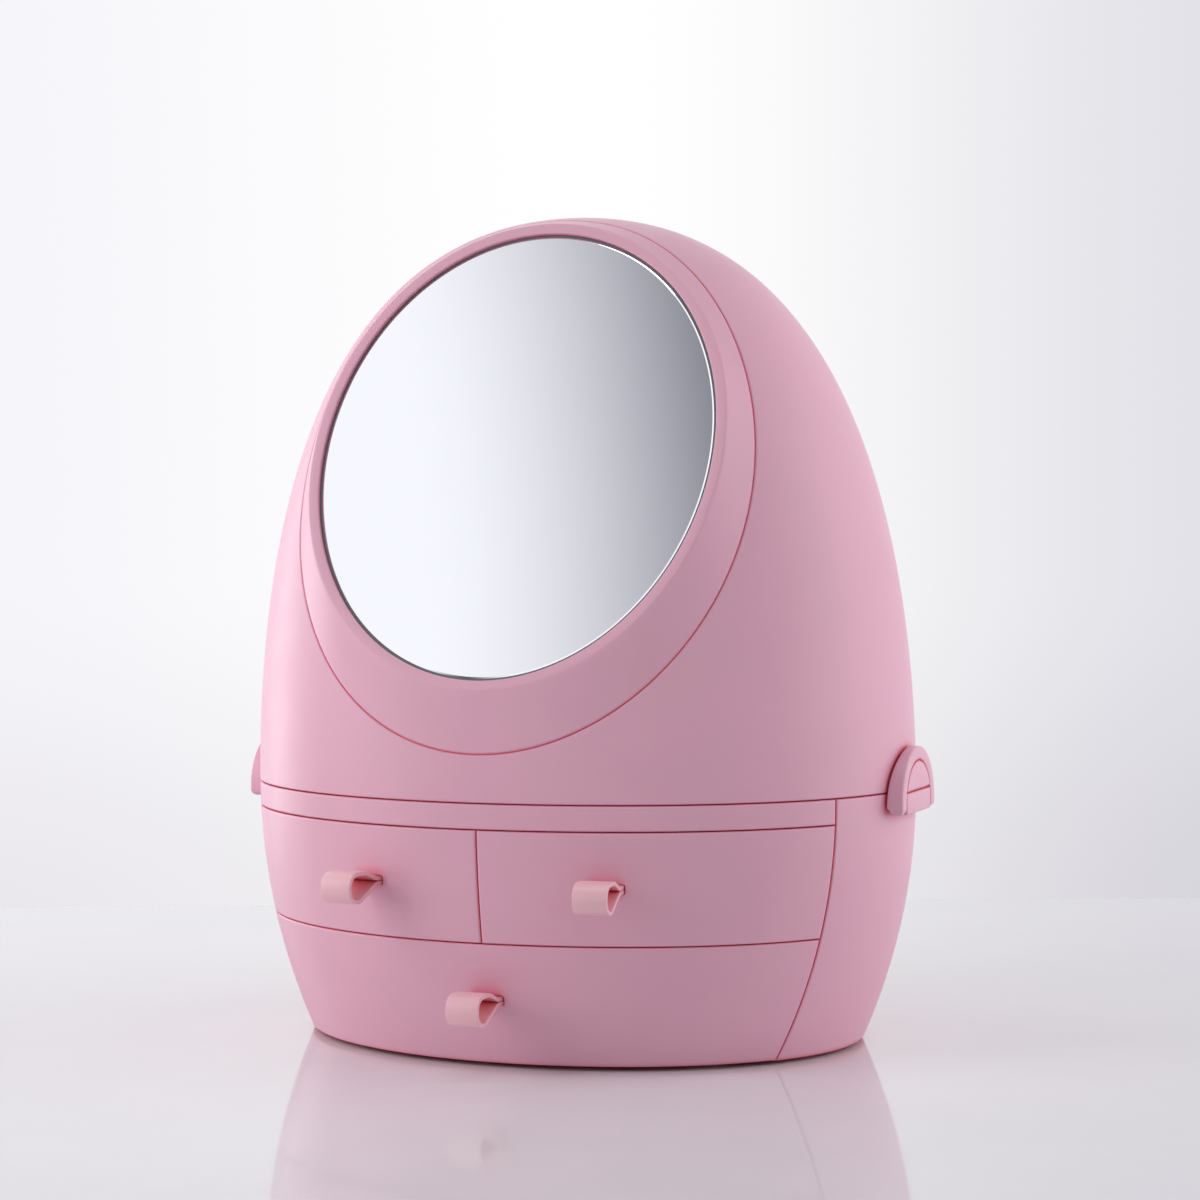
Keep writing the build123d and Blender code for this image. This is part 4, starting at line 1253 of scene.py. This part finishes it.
# %% Pad of the latch
def pad_outline(inset, x):
    """The pad's half-round outline, drawn in by inset, at a face or at the back where x is None."""
    radius = pad_half - inset
    low = pad_bottom + inset
    start = math.asin((low - arch_z) / radius)
    turn = np.linspace(start, math.pi - start, 60)
    foot = np.linspace(-1, 1, 26)[1:-1] * radius * math.cos(start)
    y = np.concatenate([radius * np.cos(turn), foot])
    z = np.concatenate([arch_z + radius * np.sin(turn), np.full(len(foot), low)])
    return np.column_stack([latch_back(y) if x is None else np.full(len(y), x), y, z])


pad_edge = 0.5 * MM
pad_loops = [pad_outline(0.0, None)]
for turn in np.linspace(0, math.pi / 2, 5):
    pad_loops.append(pad_outline(pad_edge * (1 - math.cos(turn)), latch_outer_x - pad_edge * (1 - math.sin(turn))))
web_overlap = 1.2 * latch_groove
web_depth = 1.2 * MM
web_loops = [pad_outline(-web_overlap, x) for x in (None, latch_outer_x - web_depth)]
print("pad loops:", len(pad_loops))

# %% Latch clips
clip_points, clip_faces = join_parts(
    [stack_faces(loops) for loops in (latch_band_loops(), pad_loops, web_loops)])
for side_name, side in (("left", -1), ("right", 1)):
    latch = f"latch_{side_name}"
    placed = clip_points * np.array([side, 1, 1]) + np.array([0, plan_y, 0])
    finish_piece(f"{latch}_finished", (placed, clip_faces), "latch", latch, f"{latch}_clip")

# %% [markdown]
# ## Screws and feet
# Screws with a cross recess hold the pieces together, and the box stands on four round pads. Each could be placed by
# hand, but they repeat, so one of each is made and Geometry Nodes copy it onto points. The points are read from the
# CAD node: each of its separate solids is one screw or one foot, so no copy can miss its place.

# %% Copy tree
def copy_tree():
    """Copies of one piece on every point of a mesh, all turned the same way."""
    tree = bpy.data.node_groups.new("copies_on_points", "GeometryNodeTree")
    add_socket(tree, "Geometry", "NodeSocketGeometry")
    add_socket(tree, "Piece", "NodeSocketObject")
    add_socket(tree, "Turn", "NodeSocketVector")
    add_socket(tree, "Finish", "NodeSocketMaterial")
    add_socket(tree, "Geometry", "NodeSocketGeometry", "OUTPUT")
    start = tree.nodes.new("NodeGroupInput")
    end = tree.nodes.new("NodeGroupOutput")
    piece = add_node(tree, "GeometryNodeObjectInfo", As_Instance=True)
    copies = add_node(tree, "GeometryNodeInstanceOnPoints")
    realise = add_node(tree, "GeometryNodeRealizeInstances")
    finish = add_node(tree, "GeometryNodeSetMaterial")
    tree.links.new(start.outputs["Geometry"], copies.inputs["Points"])
    tree.links.new(start.outputs["Piece"], piece.inputs["Object"])
    tree.links.new(piece.outputs["Geometry"], copies.inputs["Instance"])
    tree.links.new(start.outputs["Turn"], copies.inputs["Rotation"])
    tree.links.new(copies.outputs["Instances"], realise.inputs["Geometry"])
    tree.links.new(realise.outputs["Geometry"], finish.inputs["Geometry"])
    tree.links.new(start.outputs["Finish"], finish.inputs["Material"])
    tree.links.new(finish.outputs["Geometry"], end.inputs["Geometry"])
    return tree


def point_cloud(points):
    """A mesh of loose points."""
    mesh = bpy.data.meshes.new("points")
    mesh.from_pydata([tuple(point) for point in points], [], [])
    return mesh


copies_on_points = copy_tree()
print("copy tree nodes:", len(copies_on_points.nodes))

# %% One screw
def screw_object(length, head_depth, shank=1.5 * MM, head=2.8 * MM):
    """A pan-head screw with a cross recess, its head's top at the origin and its shank along -Z."""
    tip = -head_depth - length
    profile = [(tip, 0.6 * shank), (tip + 0.6 * MM, shank), (-head_depth, shank), (-head_depth, head)]
    profile += [(-0.45 * head_depth, head), (-0.15 * head_depth, 0.9 * head), (0.0, 0.62 * head)]
    blank = turned((0, 0), 2, profile, 40)
    for shares in ((0.55, 0.16), (0.16, 0.55)):
        reach = np.array(shares) * head
        blank = carve(blank, rounded_box((*-reach, -0.55 * head_depth), (*reach, head_depth), 0.12 * MM, 2))
    return loose_object("screw", *blank)


# %% Screws
def screws_on(node, axis, turn, length, head_depth):
    """Screws in place of a CAD node's plain ones; axis points out of their heads."""
    axis = np.array(axis, float)
    spots = []
    for group in islands(node):
        middle = middle_of(group)
        spots.append(middle + axis * (group @ axis - middle @ axis).max())
    screw = screw_object(length, head_depth)
    parts = run_tree(copies_on_points, point_cloud(spots), Piece=screw, Turn=turn, Finish=finishes["steel"])
    bpy.data.objects.remove(screw)
    finish_piece(f"{node}_crossed", parts, "steel", body_of[node], node)


quarter_turn = math.pi / 2
screws_on("deck_screws", (0, 0, 1), (0, 0, 0.4), length=4.3 * MM, head_depth=1.8 * MM)
for drawer in front_ranges:
    screws_on(f"drawer_{drawer}_screws", (0, 1, 0), (-quarter_turn, 0, 0), length=3.9 * MM, head_depth=1.6 * MM)
screws_on(
    "mirror_ring_screws", ring_sink, (-quarter_turn - mirror_tilt, 0, 0), length=12.8 * MM, head_depth=1.8 * MM)

# %% Feet
foot_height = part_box("foot_pads")[1].z
foot_radius = 9.0 * MM
foot = loose_object("foot", *turned((0, 0), 2, [
    (0.0, 0.82 * foot_radius), (0.15 * MM, 0.93 * foot_radius), (0.6 * MM, foot_radius), (foot_height, foot_radius)]))
foot_spots = [(*middle_of(group)[:2], 0.0) for group in islands("foot_pads")]
feet = run_tree(copies_on_points, point_cloud(foot_spots), Piece=foot, Turn=(0, 0, 0), Finish=finishes["foot"])
bpy.data.objects.remove(foot)
finish_piece("foot_pads_rounded", feet, "foot", "base", "foot_pads")

# %% [markdown]
# ## The small and inside pieces
# The button at the rear has a shallow dished cap, which is turned from its profile. The plain pieces inside the box
# could stay as they come, but an open lid or drawer shows them, so they keep their CAD form and lose only their
# knife edges.

# %% Button and inside pieces
cap = button_high.y
button_form = turned(button_centre, 1, [
    (button_low.y, button_radius),
    (cap - 0.6 * MM, button_radius),
    (cap - 0.15 * MM, button_radius - 0.2 * MM),
    (cap, button_radius - 0.7 * MM),
    (cap - 0.25 * MM, 0.55 * button_radius),
    (cap - 0.4 * MM, 0.15 * button_radius),
])
finish_piece("power_button_dished", button_form, "body", "power_button", "power_button")
for node, radius in (
    ("drawer_shelf", 0.4 * MM),
    ("drawer_partition", 0.4 * MM),
    ("mirror_rear_cover", 0.5 * MM),
    ("electronics_cover", 0.5 * MM),
    ("hinge_pin", 0.4 * MM),
):
    soften_node(node, radius)

# %% [markdown]
# ## The stage
# The box stands on a pale glossy table top in front of a white backdrop. The table ends a little way behind the box,
# and its gloss mirrors the box. The backdrop could be a lit sheet of paper, but its light would also fall on the
# box. Here the world is white to the camera, to gloss and to glass, a little darker low down and at the sides, and
# much dimmer as a light, so that the lamps alone shape the box. In the direction that the mirror sees, a soft grey
# patch of the world gives the glass its shading.

# %% Table top
table_back = 0.42
table_reach = 0.7
table_corners = []
for along, across in ((table_back, -1), (table_back, 1), (-table_reach, 1), (-table_reach, -1)):
    place = Vector((0, plan_y, 0)) - view_back * along + view_right * across * table_reach
    table_corners.append((place.x, place.y, 0.0))
table_mesh = bpy.data.meshes.new("table_top")
table_mesh.from_pydata(table_corners, [], [(0, 3, 2, 1)])
table = bpy.data.objects.new("table_top", table_mesh)
bpy.context.scene.collection.objects.link(table)
table_mesh.materials.append(moulded_finish(
    "glossy_table", (0.80, 0.79, 0.82), (0.05, 0.08), 30.0, 0.0, cloud=0.01, IOR=1.4))
print(f"table {2 * table_reach:.2f} wide, {table_back + table_reach:.2f} deep")

# %% World helpers
world = bpy.data.worlds.new("white_studio")
bpy.context.scene.world = world
world.use_nodes = True
tree = world.node_tree
ray = add_node(tree, "ShaderNodeLightPath")
direction = add_node(tree, "ShaderNodeTexCoord").outputs["Generated"]


def direction_ramp(axis, stops):
    """A world colour that changes with the direction's share along an axis; stops are (share, colour) pairs."""
    along = add_node(tree, "ShaderNodeVectorMath", operation="DOT_PRODUCT")
    along.inputs[1].default_value = axis
    tree.links.new(direction, along.inputs[0])
    first, last = stops[0][0], stops[-1][0]
    share = add_node(tree, "ShaderNodeMapRange", From_Min=first, From_Max=last)
    tree.links.new(along.outputs["Value"], share.inputs["Value"])
    ramp = add_node(tree, "ShaderNodeValToRGB")
    ramp.color_ramp.interpolation = "EASE"
    while len(ramp.color_ramp.elements) < len(stops):
        ramp.color_ramp.elements.new(0.5)
    for element, (at, colour) in zip(ramp.color_ramp.elements, stops):
        element.position = (at - first) / (last - first)
        element.color = (*colour, 1)
    tree.links.new(share.outputs["Result"], ramp.inputs["Fac"])
    return ramp.outputs["Color"]


def choose(kind, shown, otherwise):
    """One background for a kind of ray and another for the rest."""
    mix = add_node(tree, "ShaderNodeMixShader")
    tree.links.new(ray.outputs[kind], mix.inputs["Fac"])
    tree.links.new(otherwise, mix.inputs[1])
    tree.links.new(shown, mix.inputs[2])
    return mix.outputs["Shader"]


def backdrop(colour, strength):
    """A background of one colour output."""
    node = add_node(tree, "ShaderNodeBackground", Strength=strength)
    tree.links.new(colour, node.inputs["Color"])
    return node.outputs["Background"]


def product(first, second):
    """Two world colours multiplied."""
    node = add_node(tree, "ShaderNodeVectorMath", operation="MULTIPLY")
    tree.links.new(first, node.inputs[0])
    tree.links.new(second, node.inputs[1])
    return node.outputs["Vector"]


# %% World
white = (1.0, 1.0, 1.0)
paper = direction_ramp(view_right, [(-0.22, (0.92, 0.91, 0.95)), (0.0, white), (0.22, (0.76, 0.75, 0.80))])
window_axis = Vector((-0.80, -0.453, 0.393)).normalized()
window = direction_ramp(window_axis, [(0.72, white), (0.818, (0.11, 0.11, 0.14)), (0.892, (0.98, 0.98, 1.0))])
low_shade = direction_ramp(Vector((0, 0, 1)), [(-0.14, (0.89, 0.88, 0.89)), (-0.02, white)])
seen_behind = backdrop(product(paper, low_shade), 1.0)
seen_in_gloss = backdrop(product(paper, window), 1.14)
fill = tree.nodes["Background"]
fill.inputs["Color"].default_value = (0.96, 0.955, 1.0, 1)
fill.inputs["Strength"].default_value = 0.32
lit = choose("Is Glossy Ray", seen_in_gloss, fill.outputs["Background"])
lit = choose("Is Transmission Ray", seen_behind, lit)
lit = choose("Is Camera Ray", seen_behind, lit)
tree.links.new(lit, tree.nodes["World Output"].inputs["Surface"])
print("world nodes:", len(tree.nodes))

# %% [markdown]
# A studio lights such a box with large soft boxes, and area lamps are just that. Two light it from its left and its
# right, so that the middle of its front falls into a soft shade. A narrower one behind its left keeps that rim
# bright, a strip above lights the upper edges, and a weak one near the camera opens the shade. The large ones
# would leave hard-edged patches in the mirror and the gloss, so they are hidden from glossy rays.

# %% Lamps
box_middle = Vector((0, plan_y, 0.18))


def soft_lamp(name, place, size, power):
    """A rectangular soft box that points at the middle of the box."""
    lamp_data = bpy.data.lights.new(name, "AREA")
    lamp_data.shape = "RECTANGLE"
    lamp_data.size, lamp_data.size_y = size
    lamp_data.energy = power
    lamp = bpy.data.objects.new(name, lamp_data)
    lamp.location = place
    lamp.rotation_euler = (box_middle - place).to_track_quat("-Z", "Y").to_euler()
    bpy.context.scene.collection.objects.link(lamp)
    return lamp


for name, (to_right, to_camera, up), size, power, in_gloss in (
    ("left_rim_box", (-0.9, -0.6, 0.3), (0.5, 1.1), 3.0, True),
    ("top_strip", (0.0, 0.25, 1.1), (1.0, 0.3), 1.8, True),
    ("left_soft_box", (-1.1, 0.3, 0.35), (0.7, 1.1), 7.2, False),
    ("right_soft_box", (1.2, 0.05, 0.3), (1.2, 1.1), 9.0, False),
    ("front_fill", (0.5, 1.3, 0.2), (0.8, 0.8), 0.3, False),
):
    place = box_middle + view_right * to_right + view_back * to_camera + Vector((0, 0, up))
    lamp = soft_lamp(name, place, size, power)
    lamp.visible_glossy = in_gloss
    print(f"{name}: {power} W at {[round(value, 2) for value in place]}")
bpy.context.scene.view_settings.view_transform = "Standard"
